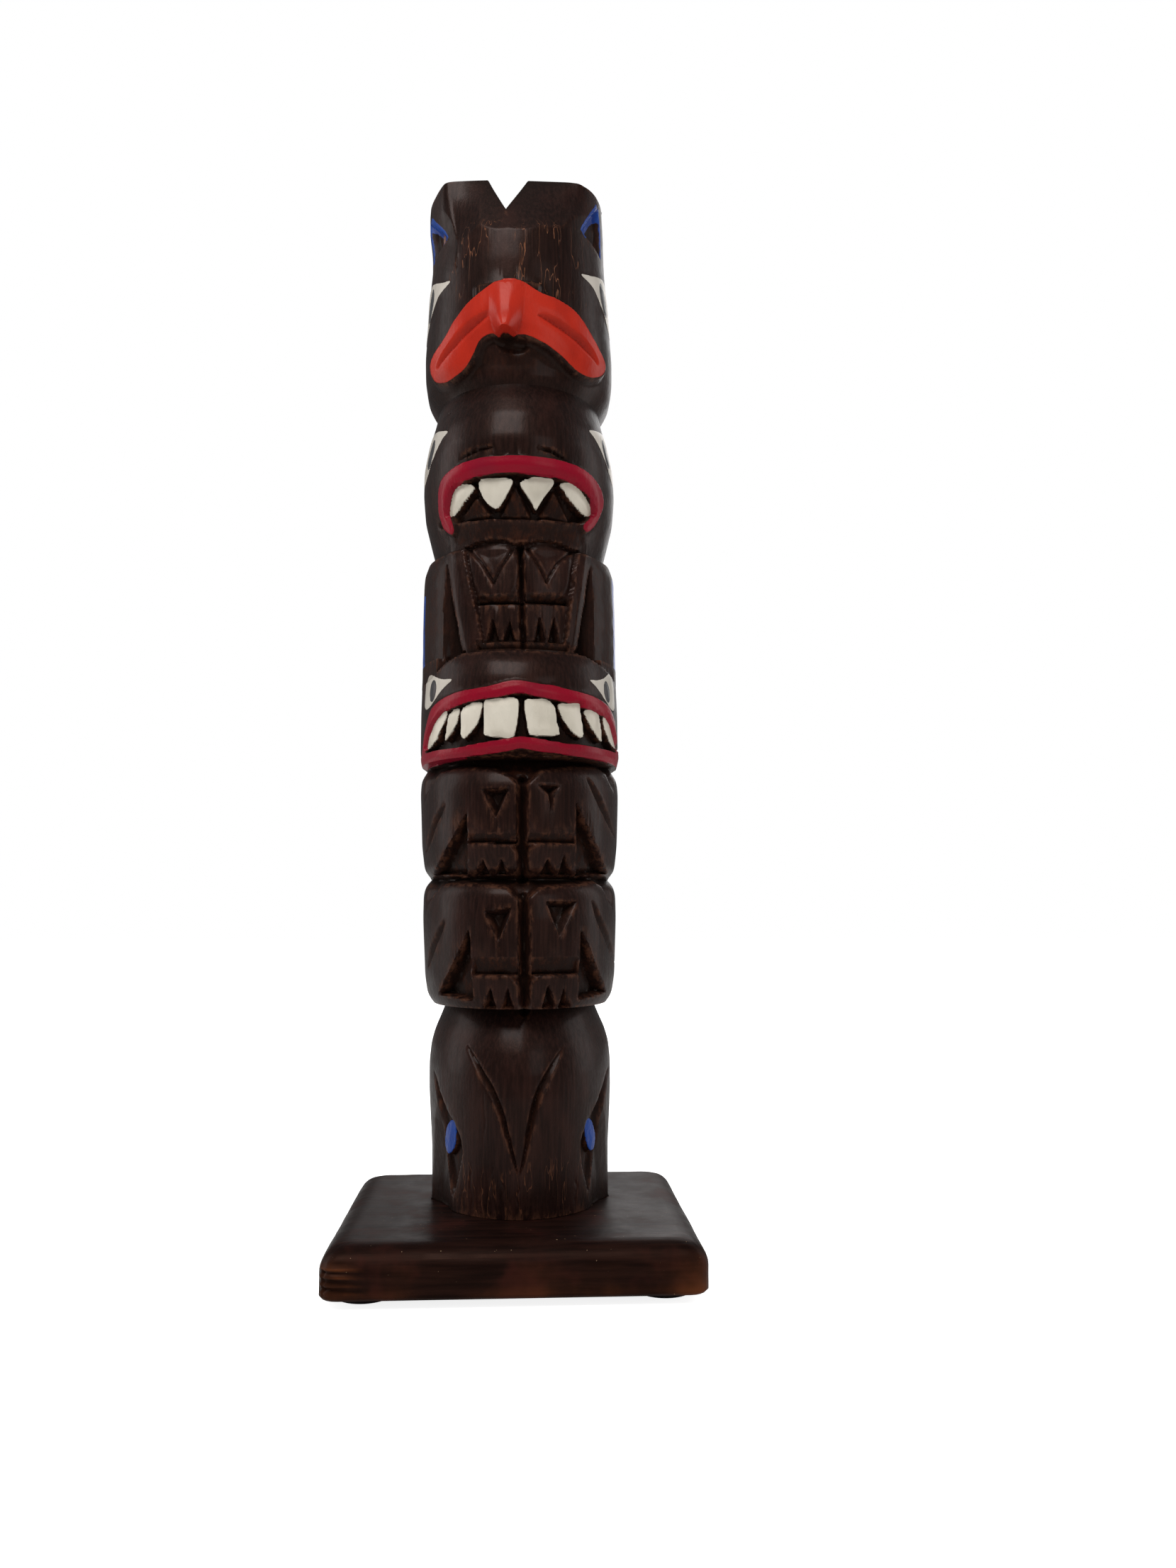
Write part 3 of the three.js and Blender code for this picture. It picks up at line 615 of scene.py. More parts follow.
# ---- Wide-mouthed head ---------------------------------------------------------------------
UPPER_LIP = [(-27.7, 136.4), (-27, 141), (-25.4, 146.4), (-23.3, 149.8), (-18, 151.8),
             (-7.8, 153.1), (-3.4, 154.1), (0.4, 154.4), (4.4, 153.9), (17.4, 152.2), (22.6, 151.2),
             (25.4, 149.6), (27.2, 145.4), (28.2, 138.6), (27.4, 138.2), (26.5, 142.4), (24, 146.8),
             (18.7, 148), (10.7, 149.4), (4, 150.2), (0.4, 150.9), (-3.6, 150.4), (-8.2, 149.8),
             (-15.2, 148.7), (-21.3, 146.8), (-24, 143.6), (-26.6, 137)]
LOWER_LIP = [(-27.8, 134), (-28, 137), (-24.7, 137.2), (-17.6, 137.2), (-10.8, 137.9), (-4, 138.9),
             (0.2, 139.6), (4.4, 139), (9.7, 138.4), (17.2, 138.1), (25.6, 138), (28.3, 138.2),
             (28.2, 135), (26.9, 134.7), (14.9, 135.1), (6.3, 135.5), (3, 136), (0.2, 136.4),
             (-3, 135.8), (-10.1, 134.9), (-18.4, 134.2), (-25.9, 133.8)]
LIP_RISE = 0.7
WIDE_MOUTH = [(-26.8, 136.8), (-24.2, 144), (-21.4, 147), (-15.2, 148.9), (-8.2, 150), (0.4, 151.1),
              (10.7, 149.6), (18.7, 148.2), (24.2, 147), (26.7, 142.6), (27.8, 138), (17, 137.9),
              (0.2, 139.2), (-17.6, 136.9)]
TEETH = (
    [(-21, 147), (-19.4, 147.6), (-19.6, 146.2), (-20.4, 144.4), (-22.9, 140.2), (-25, 138.4),
     (-25.6, 139.4), (-23.7, 144)],
    [(-18.9, 146.6), (-16.6, 147.9), (-15.9, 147.2), (-16.9, 144), (-18.4, 141.4), (-19.9, 139.5),
     (-19.7, 143.2)],
    [(-14.9, 148), (-10.6, 149), (-9.8, 147.8), (-10.9, 144), (-13.2, 141), (-15, 139.5),
     (-15.8, 141.2), (-15.7, 145.4)],
    [(-8.8, 149.4), (-3.2, 149.9), (-0.4, 149.3), (-0.3, 146.3), (-1.4, 139.9), (-4.9, 139.3),
     (-9.1, 139.8), (-9.7, 141.4), (-9.4, 147.8)],
    [(1.3, 149), (3.4, 149.4), (7.1, 149.6), (9.3, 148), (9.9, 144.1), (10.7, 140.6), (6.7, 139.8),
     (2.6, 140.1), (1.6, 144.6)],
    [(10.3, 148.6), (12.8, 148.9), (15.7, 149.4), (16.2, 148.2), (17.1, 142.6), (17, 140.2),
     (15.5, 140.4), (12.8, 142.6), (10.8, 146.2)],
    [(17.5, 147.8), (20.7, 147.8), (21.9, 146.4), (22.7, 140.4), (21.6, 140.8), (19.6, 143),
     (17.9, 146)],
    [(22.8, 147.3), (24.8, 145.6), (27.2, 139.8), (26.4, 139.7), (24.8, 141.2), (23.2, 144.6)],
)


def carve_wide_mouthed_head(log):
    log.level_to(rounded(WIDE_MOUTH), -2.8, 0.4, bare=1, proud=0)
    for lip in (UPPER_LIP, LOWER_LIP):
        log.level_to(rounded(lip, 3), LIP_RISE * 0.6, 0.5, crown=LIP_RISE * 0.4, proud=0.5,
                     paint="crimson")
    for tooth in TEETH:
        log.level_to(rounded(tooth, 2), -0.5, 0.4, crown=0.35, proud=-0.5, bare=1, paint="ivory")
    paint_eye(log, EYE_LOW)


# ---- Crouching figures ---------------------------------------------------------------------
UPPER_CROUCHING = {
    "lobes": [(-26.4, 123), (-24.6, 128), (-21.7, 131.3), (-15.9, 132.1), (-7, 131.3), (-3, 129.1),
              (-0.6, 126.7), (2.6, 127.2), (5.8, 130.9), (13.1, 132.3), (21.2, 133.2),
              (23.7, 131.8), (26.4, 126), (27.2, 122)],
    "crown": 136, "foot": 103.2, "middle": [(0.8, 128), (0.7, 114), (0.7, 102.2)],
    "chips": ([(-10.4, 126), (-2.4, 126.2), (-6.3, 118.2)],
              [(4.6, 127.1), (11, 126.9), (9.2, 124.4), (8.6, 118.8), (7.6, 124.2)]),
    "cuts": ([(-20.1, 122.6), (-23.4, 117), (-25.9, 110)],
             [(18, 129.8), (22.4, 122.6), (26.8, 114.2)]),
    "recesses": ([(-13.9, 120.2), (-23.8, 103.8), (-13.9, 102.9)],
                 [(15.1, 123), (24.4, 104), (15, 102.9)]),
    "shelves": ((-13.6, -0.6, 114.2, 111.6), (2.4, 15, 114.4, 111.7)),
    "claws": ((-9.8, 107.4, 3.6), (-4.9, 107.4, 3.2), (7.4, 107.5, 4.4), (11.9, 108.9, 3.2)),
}
LOWER_CROUCHING = {
    "lobes": [(-26.2, 90), (-24.8, 96), (-23, 99), (-20.8, 100.8), (-15.8, 101.2), (-8.8, 100.6),
              (-3.4, 99.7), (-0.6, 96.5), (2.9, 97.4), (5.1, 99.7), (15.3, 100.9), (19.9, 101.8),
              (22.3, 100.5), (26.3, 92.8), (27.2, 88)],
    "crown": 103.4, "foot": 68.5, "middle": [(1, 97), (1.1, 84), (1.2, 67.4)],
    "chips": ([(-9.6, 93.8), (-1.9, 94.9), (-5.5, 85.6)],
              [(6.6, 96.5), (15.4, 96.3), (10.5, 86.8)]),
    "cuts": ([(-20, 91.4), (-23.2, 85), (-25.4, 78.4)], [(19.2, 96.8), (23.2, 88), (27, 79)]),
    "recesses": ([(-13.3, 89.4), (-21.9, 71.6), (-12.4, 70.6)],
                 [(16.3, 89.2), (23.6, 71.8), (15.4, 70.6)]),
    "shelves": ((-12.2, -0.4, 81.8, 77.4), (3, 15.6, 81.8, 77.4)),
    "claws": ((-7.8, 73.8, 3.2), (-3.2, 73.9, 3), (7.4, 74.6, 3.4), (11.6, 73.6, 3)),
}


def carve_crouching_figure(log, figure):
    """Two rounded lobes, hollows between limbs and body, and a row of claws along the foot."""
    lobes, crown = figure["lobes"], figure["crown"]
    above = [(-60, lobes[0][1])] + lobes + [(60, lobes[-1][1]), (60, crown), (-60, crown)]
    rows, away = log.distance(above)
    share = np.clip(-away / 1.2, 0, 1) * (1 - step((np.abs(log.around[rows]) - 31) / 6))
    log.relief[rows] -= 2.2 * share
    log.bare[rows] = np.maximum(log.bare[rows], 0.85 * share)
    for recess in figure["recesses"]:
        log.sink(recess, 3.6, 0.7)
    for left, right, top, foot in figure["shelves"]:
        log.wedge(left, right, top, foot, 1.7)
        log.knife_cut([(left, foot), (right, foot)], 0.8, 0.5, (False, False), curved=False)
    for chip in figure["chips"]:
        log.sink(chip, 2.9, 1.5, bare=0.5)
    for cut in figure["cuts"]:
        log.knife_cut(cut, 1.9, 1.3)
    middle = figure["middle"]
    log.knife_cut(middle, 3.4, 3, (False, False))
    shelf_foot = figure["shelves"][0][3]
    for hand in (-1, 1):
        x = middle[1][0]
        log.sink([(x + hand * 4.4, shelf_foot + 0.2), (x, shelf_foot + 0.2), (x, shelf_foot - 4.4)],
                 1.4, 1.3)
    claws(log, figure["claws"], figure["foot"], 2.5)


# ---- Lower body ----------------------------------------------------------------------------
SLITS = ([(-23.8, 51), (-20.4, 43), (-17.8, 38.6), (-15.8, 35), (-15.2, 31.6), (-15.9, 27),
          (-18, 18.6), (-20.6, 26), (-21.5, 31), (-21.7, 36), (-22.2, 42)],
         [(24.8, 51), (20.9, 43), (18.4, 38.6), (16.6, 35), (16, 31), (16.6, 26), (18.6, 19),
          (20.9, 26), (21.9, 31), (22.2, 36), (22.9, 42)])
OVALS = ((-18.5, 34.1, 1.6, 4.6), (18.7, 34.2, 1.35, 4.5))
CRACKS = ((-12.9, 17, 29.5), (-9.3, 32, 49.5), (-7.4, 16.6, 31), (-4.6, 16.6, 27),
          (-0.8, 16.8, 24), (14.6, 16.8, 25))
# The flat each side of the foot, by arc length and height.
FOOT_FLAT = [(21.5, 10), (22, 24), (24.5, 34), (28, 44), (33, 38), (36, 24), (37, 10)]


def carve_lower_body(log):
    log.knife_cut([(-14.2, 58.6), (-9, 50), (-5.3, 42.7), (-0.5, 26.2)], 2.1, 1.5)
    log.knife_cut([(11.2, 58), (6.2, 49.6), (3.7, 43.6), (-0.1, 26.2)], 2.5, 1.5)
    for hand, slit, (x, z, wide, high) in zip((-1, 1), SLITS, OVALS):
        log.sink([(hand * s, z) for s, z in FOOT_FLAT], 1.9, 5.5, bare=0.15, around=True)
        log.sink(rounded(slit, 3), 1.9, 0.8, bare=1)
        turn = np.linspace(0, 2 * math.pi, 18, endpoint=False)
        oval = np.column_stack([x + wide * np.cos(turn) + 0.12 * high * np.sin(turn) * np.sign(-x),
                                z + high * np.sin(turn)])
        log.level_to(oval, -0.5, 0.45, paint="blue", proud=-0.5, bare=1, crown=0.2)
    for x, low, high in CRACKS:
        wander = [(x + 0.35 * math.sin(2.1 * k + x), low + (high - low) * k / 5) for k in range(6)]
        log.knife_cut(wander, 0.7, 0.22, bare=0)


# ---- Skin to mesh --------------------------------------------------------------------------
CAP_ROWS = 8                          # rows over the top
FOOT_CAP = (1.0, 0.5)                 # rows under the foot, by how far each is drawn in


def close_ends(x, y, z):
    """Rows added above and below that draw the skin in to a middle line at each end."""
    middle = WIDEST / 2

    def drawn_in(row, share):
        return x[row], y[row] * (1 - share) + middle * share, z[row]

    top = [drawn_in(-1, k / CAP_ROWS) for k in range(1, CAP_ROWS + 1)]
    foot = [drawn_in(0, share) for share in FOOT_CAP]
    return [np.vstack([[part[i] for part in foot], whole, [part[i] for part in top]])
            for i, whole in enumerate((x, y, z))]


def smoothed_masks(x, y):
    """Wear on outward edges, and painted shade in hollows, from how far the skin stands off its
    mean.
    """
    reach = np.hypot(x, y - WIDEST)
    near = reach - blurred(reach, 2)
    wide = reach - blurred(reach, 5)
    broad = reach - blurred(reach, 9)
    edge = np.clip((near - 0.03) / 0.16, 0, 1)
    # The hollow mask is painted shade, strongest in the deepest and broadest hollows.
    hollow_shade = np.clip(-wide / 0.8, 0, 1) * 0.6 + np.clip(-broad / 1.8, 0, 1) * 0.4
    return edge, hollow_shade


def pole_mesh(name, settings):
    """The carved log as one closed mesh with its paint, wear and grime as attributes."""
    log = Carving(settings.row_spacing / MM, settings.columns)
    carve_lower_body(log)
    carve_crouching_figure(log, LOWER_CROUCHING)
    carve_crouching_figure(log, UPPER_CROUCHING)
    carve_wide_mouthed_head(log)
    carve_chest(log)
    carve_fanged_head(log)
    carve_beaked_head(log)
    shape = log.x.shape
    log.relief += (0.07 * soft_noise(*shape, (26, 18), 21)
                   + 0.13 * log.bare * soft_noise(*shape, (7, 6), 22))
    x, y, z = log.surface()
    # The rows above the crease are spread between it and the top, tip by tip.
    share = np.clip((z - CREASE_FOOT) / (POLE_TOP - CREASE_FOOT), 0, 1)
    z = np.where(share > 0, CREASE_FOOT + share * (top_height(x[-1])[None, :] - CREASE_FOOT), z)
    y = shape_crown(log, x, y, z)
    edge, hollow_shade = smoothed_masks(x, y)
    for hand, start, most in TIP_SIDES:
        past = np.clip((z - start) / (POLE_TOP - start), 0, 1)
        x = x - hand * most * past * np.clip(hand * x / 20, 0, 1)
    x = x + LEAN["foot"] + LEAN["per_millimetre"] * (z - POLE_FOOT)
    fields = {"bare": log.bare, "edge": edge, "hollow_shade": hollow_shade, **log.paint}
    x, y, z = close_ends(x, y, z)
    points = np.clip(np.stack([x, y, z], axis=-1), np.array(POLE_LOW), np.array(POLE_HIGH))
    stretched = {key: np.vstack([field[:1]] * len(FOOT_CAP) + [field] + [field[-1:]] * CAP_ROWS)
                 for key, field in fields.items()}
    return grid_mesh(name, points, stretched)


def finished(form, name):
    mesh = bpy.data.meshes.new(name)
    form.to_mesh(mesh)
    form.free()
    return mesh


def grid_mesh(name, points, fields):
    """A flat grid rolled onto the given points, welded along its seam, an attribute per field."""
    rows, columns = points.shape[0] - 1, points.shape[1] - 1
    form = bmesh.new()
    bmesh.ops.create_grid(form, x_segments=columns, y_segments=rows, size=0.5)
    mesh = finished(form, name)
    flat = np.zeros(len(mesh.vertices) * 3, np.float32)
    mesh.vertices.foreach_get("co", flat)
    place = flat.reshape(-1, 3) + 0.5
    column = np.rint(place[:, 0] * columns).astype(int)
    row = np.rint(place[:, 1] * rows).astype(int)
    mesh.vertices.foreach_set("co", (points[row, column] * MM).astype(np.float32).ravel())
    for key, field in fields.items():
        attribute = mesh.attributes.new(key, "FLOAT", "POINT")
        attribute.data.foreach_set("value", field[row, column].astype(np.float32))
    form = bmesh.new()
    form.from_mesh(mesh)
    bmesh.ops.remove_doubles(form, verts=form.verts, dist=0.004 * MM)
    bmesh.ops.recalc_face_normals(form, faces=form.faces)
    form.to_mesh(mesh)
    form.free()
    return mesh


FINE_WEIGHT, FINE_REACH = 0.15, 0.9   # least thinning, and how far from a paint's edge it grows


def thinned(obj, triangles):
    """Collapses the mesh to a number of triangles, keeping it fine where paint meets wood."""
    mesh = obj.data
    count = len(mesh.vertices)
    near = np.full(count, FAR, np.float32)
    for key in PAINTS:
        values = np.zeros(count, np.float32)
        mesh.attributes[key].data.foreach_get("value", values)
        near = np.minimum(near, np.abs(values))
    group = obj.vertex_groups.new(name="thin_here")
    weight = np.clip(FINE_WEIGHT + near / FINE_REACH, 0, 1)
    for level in range(1, 11):
        members = np.nonzero(np.rint(weight * 10) == level)[0].tolist()
        group.add(members, level / 10, "REPLACE")
    modifier = obj.modifiers.new("thin", "DECIMATE")
    modifier.ratio = triangles / (2 * len(mesh.polygons))
    modifier.vertex_group = group.name
    modifier.vertex_group_factor = 1.0
    depsgraph = bpy.context.evaluated_depsgraph_get()
    baked = bpy.data.meshes.new_from_object(obj.evaluated_get(depsgraph))
    obj.modifiers.clear()
    obj.vertex_groups.clear()
    obj.data = baked
    baked.name = mesh.name
    bpy.data.meshes.remove(mesh)


def linked(name, data):
    obj = bpy.data.objects.new(name, data)
    bpy.context.scene.collection.objects.link(obj)
    return obj


def piece(name, mesh, material, slot, *nodes):
    """Links a finished mesh as a piece that rides the root body and stands for CAD nodes."""
    obj = linked(name, mesh)
    mesh.materials.append(material)
    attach(obj, "root")
    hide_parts(*nodes)
    return obj


# ---- Materials -----------------------------------------------------------------------------
def add(tree, kind, inputs=None, output=0, **settings):
    """Adds a node and returns one of its outputs. An input takes a plain value or an output."""
    node = tree.nodes.new("ShaderNode" + kind)
    for key, value in settings.items():
        setattr(node, key, value)
    for key, value in (inputs or {}).items():
        if isinstance(value, bpy.types.NodeSocket):
            tree.links.new(value, node.inputs[key])
        else:
            node.inputs[key].default_value = value
    return node.outputs[output] if node.outputs else None


# What each use of a node is told: to lay one colour over another, to run softly from one value
# to another, to multiply or to multiply and add, and to read what is stored on the mesh.
OVER = {"output": 2, "data_type": "RGBA"}
SOFT = {"interpolation_type": "SMOOTHSTEP"}
TIMES, TIMES_PLUS = {"operation": "MULTIPLY"}, {"operation": "MULTIPLY_ADD"}
STORED = {"output": "Fac", "attribute_type": "GEOMETRY"}


def new_material(name):
    material = bpy.data.materials.new(name)
    material.use_nodes = True
    material.node_tree.nodes.clear()
    return material, material.node_tree


def per_metre(millimetres):
    """The scale that makes a pattern repeat about every so many millimetres."""
    return 1 / (millimetres * MM)


def wood_pattern(tree, across, along, detail=3.0, roughness=0.55, grain=2):
    """Streaks or spots so many millimetres across and along the grain, which follows an axis."""
    place = add(tree, "TexCoord", output="Object")
    scale = [per_metre(along if axis == grain else across) for axis in range(3)]
    place = add(tree, "Mapping", {"Vector": place, "Scale": scale})
    return add(tree, "TexNoise", {"Vector": place, "Scale": 1.0, "Detail": detail,
                                  "Roughness": roughness}, "Fac")


def join_finish(tree, colour, roughness, height, bump, finish):
    """Joins a colour, a roughness and a height in millimetres in one shader."""
    bumped = add(tree, "Bump", {"Height": height, "Strength": bump, "Distance": MM})
    shader = add(tree, "BsdfPrincipled", {"Base Color": colour, "Roughness": roughness,
                                          "Normal": bumped, **finish})
    add(tree, "OutputMaterial", {"Surface": shader})


# Colours of the pole that no setting changes.
STAIN_BLOTCH, CUT_SHADOW = linear("2b1713"), linear("120705")
# The first of the next two colours is the painted shade laid in the hollows.
HOLLOW_SHADE, CRACK_WOOD = linear("0c0705"), linear("6e4631")
FIXED_PAINTS = {"pupil_grey": "3b3b3d", "bare_pink": "8d6a5e"}
# The paints from the first laid on to the last, and the tone each turns to where it is thin and in
# painted shade.
PAINT_SHADES = {"eye_white": "8d857b", "pupil_grey": "2a2a2c", "ivory": "a69e8e",
                "crimson": "6e1526", "vermilion": "8c1f16", "blue": "1c3272",
                "bare_pink": "5d4038"}
PAINT_EDGE = 0.07                     # half the width over which a paint ends, in millimetres
PAINT_ROUGHNESS = 0.34
# The most that each shows through or over the stain; the third is painted shade in the hollows.
SHOWN = {"cut wood": 0.92, "worn edge": 0.42, "hollow shade": 0.75, "cracks": 0.85}
# Heights of the surface's own texture, in millimetres.
HEIGHTS = {"grain": 0.07, "tool marks": 0.3, "cracks": -0.12, "paint": 0.05, "lacquer": 0.1}
LACQUER = {"IOR": 1.45, "Specular Tint": linear("ffc2aa")}


def pole_material(settings):
    """Cedar under a near-black brown stain and satin lacquer, with brush-painted enamels."""
    material, tree = new_material("stained_cedar_and_enamel")
    grain = wood_pattern(tree, 0.7, 14)
    mottle = wood_pattern(tree, 9, 16, 2)
    flecks = wood_pattern(tree, 1.6, 3.4, 4, 0.65)
    bare, edge, hollow_shade = (add(tree, "Attribute", attribute_name=name, **STORED)
                          for name in ("bare", "edge", "hollow_shade"))
    # Stain: even dark brown, a little redder and lighter along the grain.
    share = add(tree, "MapRange", {0: grain, 1: 0.35, 2: 0.75}, **SOFT)
    stain = add(tree, "Mix", {0: share, 6: linear(settings.stain_dark),
                              7: linear(settings.stain_light)}, **OVER)
    share = add(tree, "MapRange", {0: mottle, 1: 0.45, 2: 0.75, 4: 0.5}, **SOFT)
    stain = add(tree, "Mix", {0: share, 6: stain, 7: STAIN_BLOTCH}, **OVER)
    # Cut faces took the stain thinly, so the wood's own orange brown shows in streaks.
    share = add(tree, "MapRange", {0: flecks, 1: 0.42, 2: 0.78}, **SOFT)
    cut = add(tree, "Mix", {0: share, 6: CUT_SHADOW, 7: linear(settings.cut_wood)}, **OVER)
    share = add(tree, "Math", {0: bare, 1: SHOWN["cut wood"]}, **TIMES)
    colour = add(tree, "Mix", {0: share, 6: stain, 7: cut}, **OVER)
    # Edges are rubbed through to pale wood in places.
    share = add(tree, "MapRange", {0: flecks, 1: 0.42, 2: 0.62}, **SOFT)
    share = add(tree, "Math", {0: edge, 1: share}, **TIMES)
    share = add(tree, "Math", {0: share, 1: SHOWN["worn edge"]}, **TIMES)
    colour = add(tree, "Mix", {0: share, 6: colour, 7: linear(settings.worn_edge)}, **OVER)
    # Painted shade darkens the hollows, and the cracks show brown wood.
    share = add(tree, "Math", {0: hollow_shade, 1: SHOWN["hollow shade"]}, **TIMES)
    colour = add(tree, "Mix", {0: share, 6: colour, 7: HOLLOW_SHADE}, **OVER)
    crack = weather_cracks(tree)
    share = add(tree, "Math", {0: crack, 1: SHOWN["cracks"]}, **TIMES)
    colour = add(tree, "Mix", {0: share, 6: colour, 7: CRACK_WOOD}, **OVER)
    colour, painted = paint_over(tree, settings, colour, mottle, hollow_shade)
    rough = add(tree, "MapRange", {0: flecks, 1: 0.3, 2: 0.8, 3: 0.38, 4: 0.54}, **SOFT)
    rough = add(tree, "Math", {0: bare, 1: 0.22, 2: rough}, **TIMES_PLUS)
    rough = add(tree, "Mix", {0: painted, 2: rough, 3: PAINT_ROUGHNESS}, data_type="FLOAT")
    # Open grain, small tool marks in the cuts, the crack lines and the paint's thickness.
    height = add(tree, "Math", {0: grain, 1: HEIGHTS["grain"]}, **TIMES)
    marks = add(tree, "Math", {0: flecks, 1: bare}, **TIMES)
    marks = add(tree, "Math", {0: marks, 1: HEIGHTS["tool marks"]}, **TIMES)
    height = add(tree, "Math", {0: height, 1: marks}, operation="ADD")
    height = add(tree, "Math", {0: crack, 1: HEIGHTS["cracks"], 2: height}, **TIMES_PLUS)
    height = add(tree, "Math", {0: painted, 1: HEIGHTS["paint"], 2: height}, **TIMES_PLUS)
    # Brushed lacquer dried with a fine unevenness, which breaks up its shine.
    lacquer = wood_pattern(tree, 0.9, 1.4, 2)
    height = add(tree, "Math", {0: lacquer, 1: HEIGHTS["lacquer"], 2: height}, **TIMES_PLUS)
    join_finish(tree, colour, rough, height, 0.8, {
        **LACQUER, "Specular IOR Level": 0.12, "Coat Weight": 0.08, "Coat Roughness": 0.22})
    return material


def paint_over(tree, settings, colour, mottle, hollow_shade):
    """Lays each enamel over the wood with a slightly wandering edge, darker where it is thin and
    with painted shade in the hollows. Also returns how far any paint covers the wood."""
    wobble = add(tree, "Math", {0: wood_pattern(tree, 1.3, 1.3, 2), 1: 0.24, 2: -0.12},
                 **TIMES_PLUS)
    painted = None
    for name, shade in PAINT_SHADES.items():
        full = FIXED_PAINTS.get(name) or getattr(settings, name)
        away = add(tree, "Attribute", attribute_name=name, **STORED)
        away = add(tree, "Math", {0: away, 1: wobble}, operation="ADD")
        cover = add(tree, "MapRange", {0: away, 1: PAINT_EDGE, 2: -PAINT_EDGE}, **SOFT)
        share = add(tree, "MapRange", {0: mottle, 1: 0.4, 2: 0.75, 4: 0.55}, **SOFT)
        tint = add(tree, "Mix", {0: share, 6: linear(full), 7: linear(shade)}, **OVER)
        # Painted shade: in the hollows each paint turns toward its darker tone.
        share = add(tree, "Math", {0: hollow_shade, 1: 0.7}, **TIMES)
        tint = add(tree, "Mix", {0: share, 6: tint, 7: linear(shade)}, **OVER)
        colour = add(tree, "Mix", {0: cover, 6: colour, 7: tint}, **OVER)
        if painted is not None:
            cover = add(tree, "Math", {0: painted, 1: cover}, operation="MAXIMUM")
        painted = cover
    return colour, painted


def weather_cracks(tree):
    """Fine wandering lines up the grain, where the brow and the foot have dried out."""
    lines = wood_pattern(tree, 3.4, 19, 2.5, 0.6)
    away = add(tree, "Math", {0: lines, 1: 0.5}, operation="SUBTRACT")
    away = add(tree, "Math", {0: away}, operation="ABSOLUTE")
    thin = add(tree, "MapRange", {0: away, 1: 0.004, 2: 0.01, 3: 1.0, 4: 0.0}, **SOFT)
    patches = add(tree, "MapRange", {0: wood_pattern(tree, 9, 14, 1), 1: 0.4, 2: 0.52}, **SOFT)
    place = add(tree, "TexCoord", output="Object")
    depth, height = (add(tree, "Math", {0: add(tree, "SeparateXYZ", {0: place}, axis), 1: MM},
                         operation="DIVIDE") for axis in (1, 2))
    above = add(tree, "MapRange", {0: height, 1: 262.0, 2: 268.0}, **SOFT)
    below = add(tree, "MapRange", {0: height, 1: 289.0, 2: 284.0}, **SOFT)
    brow = add(tree, "Math", {0: above, 1: below}, **TIMES)
    foot = add(tree, "MapRange", {0: height, 1: 34.0, 2: 24.0, 4: 0.45}, **SOFT)
    front = add(tree, "MapRange", {0: depth, 1: -9.0, 2: -13.0}, **SOFT)
    where = add(tree, "Math", {0: brow, 1: foot}, operation="MAXIMUM")
    where = add(tree, "Math", {0: where, 1: front}, **TIMES)
    crack = add(tree, "Math", {0: thin, 1: patches}, **TIMES)
    return add(tree, "Math", {0: crack, 1: where}, **TIMES)


BOARD = {key: linear(code) for key, code in (
    ("dark", "0f0706"), ("light", "20110d"), ("blotch", "3a1a15"), ("worn", "6d3c20"),
    ("speck", "a08468"))}
FOOT = {key: linear(code) for key, code in (
    ("dark", "0f0a09"), ("light", "1d1311"), ("blotch", "32201a"))}


def board_material():
    """Sawn softwood under the same near-black stain and lacquer, rubbed amber on its corners."""
    material, tree = new_material("stained_board_wood")
    grain = wood_pattern(tree, 1.4, 18, roughness=0.5, grain=0)
    mottle = wood_pattern(tree, 12, 12, 3)
    specks = wood_pattern(tree, 0.8, 0.8, 1)
    worn = add(tree, "Attribute", attribute_name="worn", **STORED)
    share = add(tree, "MapRange", {0: grain, 1: 0.3, 2: 0.75}, **SOFT)
    colour = add(tree, "Mix", {0: share, 6: BOARD["dark"], 7: BOARD["light"]}, **OVER)
    share = add(tree, "MapRange", {0: mottle, 1: 0.5, 2: 0.75, 4: 0.5}, **SOFT)
    colour = add(tree, "Mix", {0: share, 6: colour, 7: BOARD["blotch"]}, **OVER)
    rub = add(tree, "MapRange", {0: mottle, 1: 0.36, 2: 0.62, 3: 0.25}, **SOFT)
    rub = add(tree, "Math", {0: worn, 1: rub}, **TIMES)
    rub = add(tree, "Math", {0: rub, 1: 0.55}, **TIMES)
    colour = add(tree, "Mix", {0: rub, 6: colour, 7: BOARD["worn"]}, **OVER)
    share = add(tree, "MapRange", {0: specks, 1: 0.78, 2: 0.8, 4: 0.5}, **SOFT)
    colour = add(tree, "Mix", {0: share, 6: colour, 7: BOARD["speck"]}, **OVER)
    rough = add(tree, "MapRange", {0: mottle, 1: 0.3, 2: 0.7, 3: 0.34, 4: 0.5}, **SOFT)
    height = add(tree, "Math", {0: grain, 1: 0.1}, **TIMES)
    join_finish(tree, colour, rough, height, 0.7, {**LACQUER, "Specular IOR Level": 0.08})
    return material


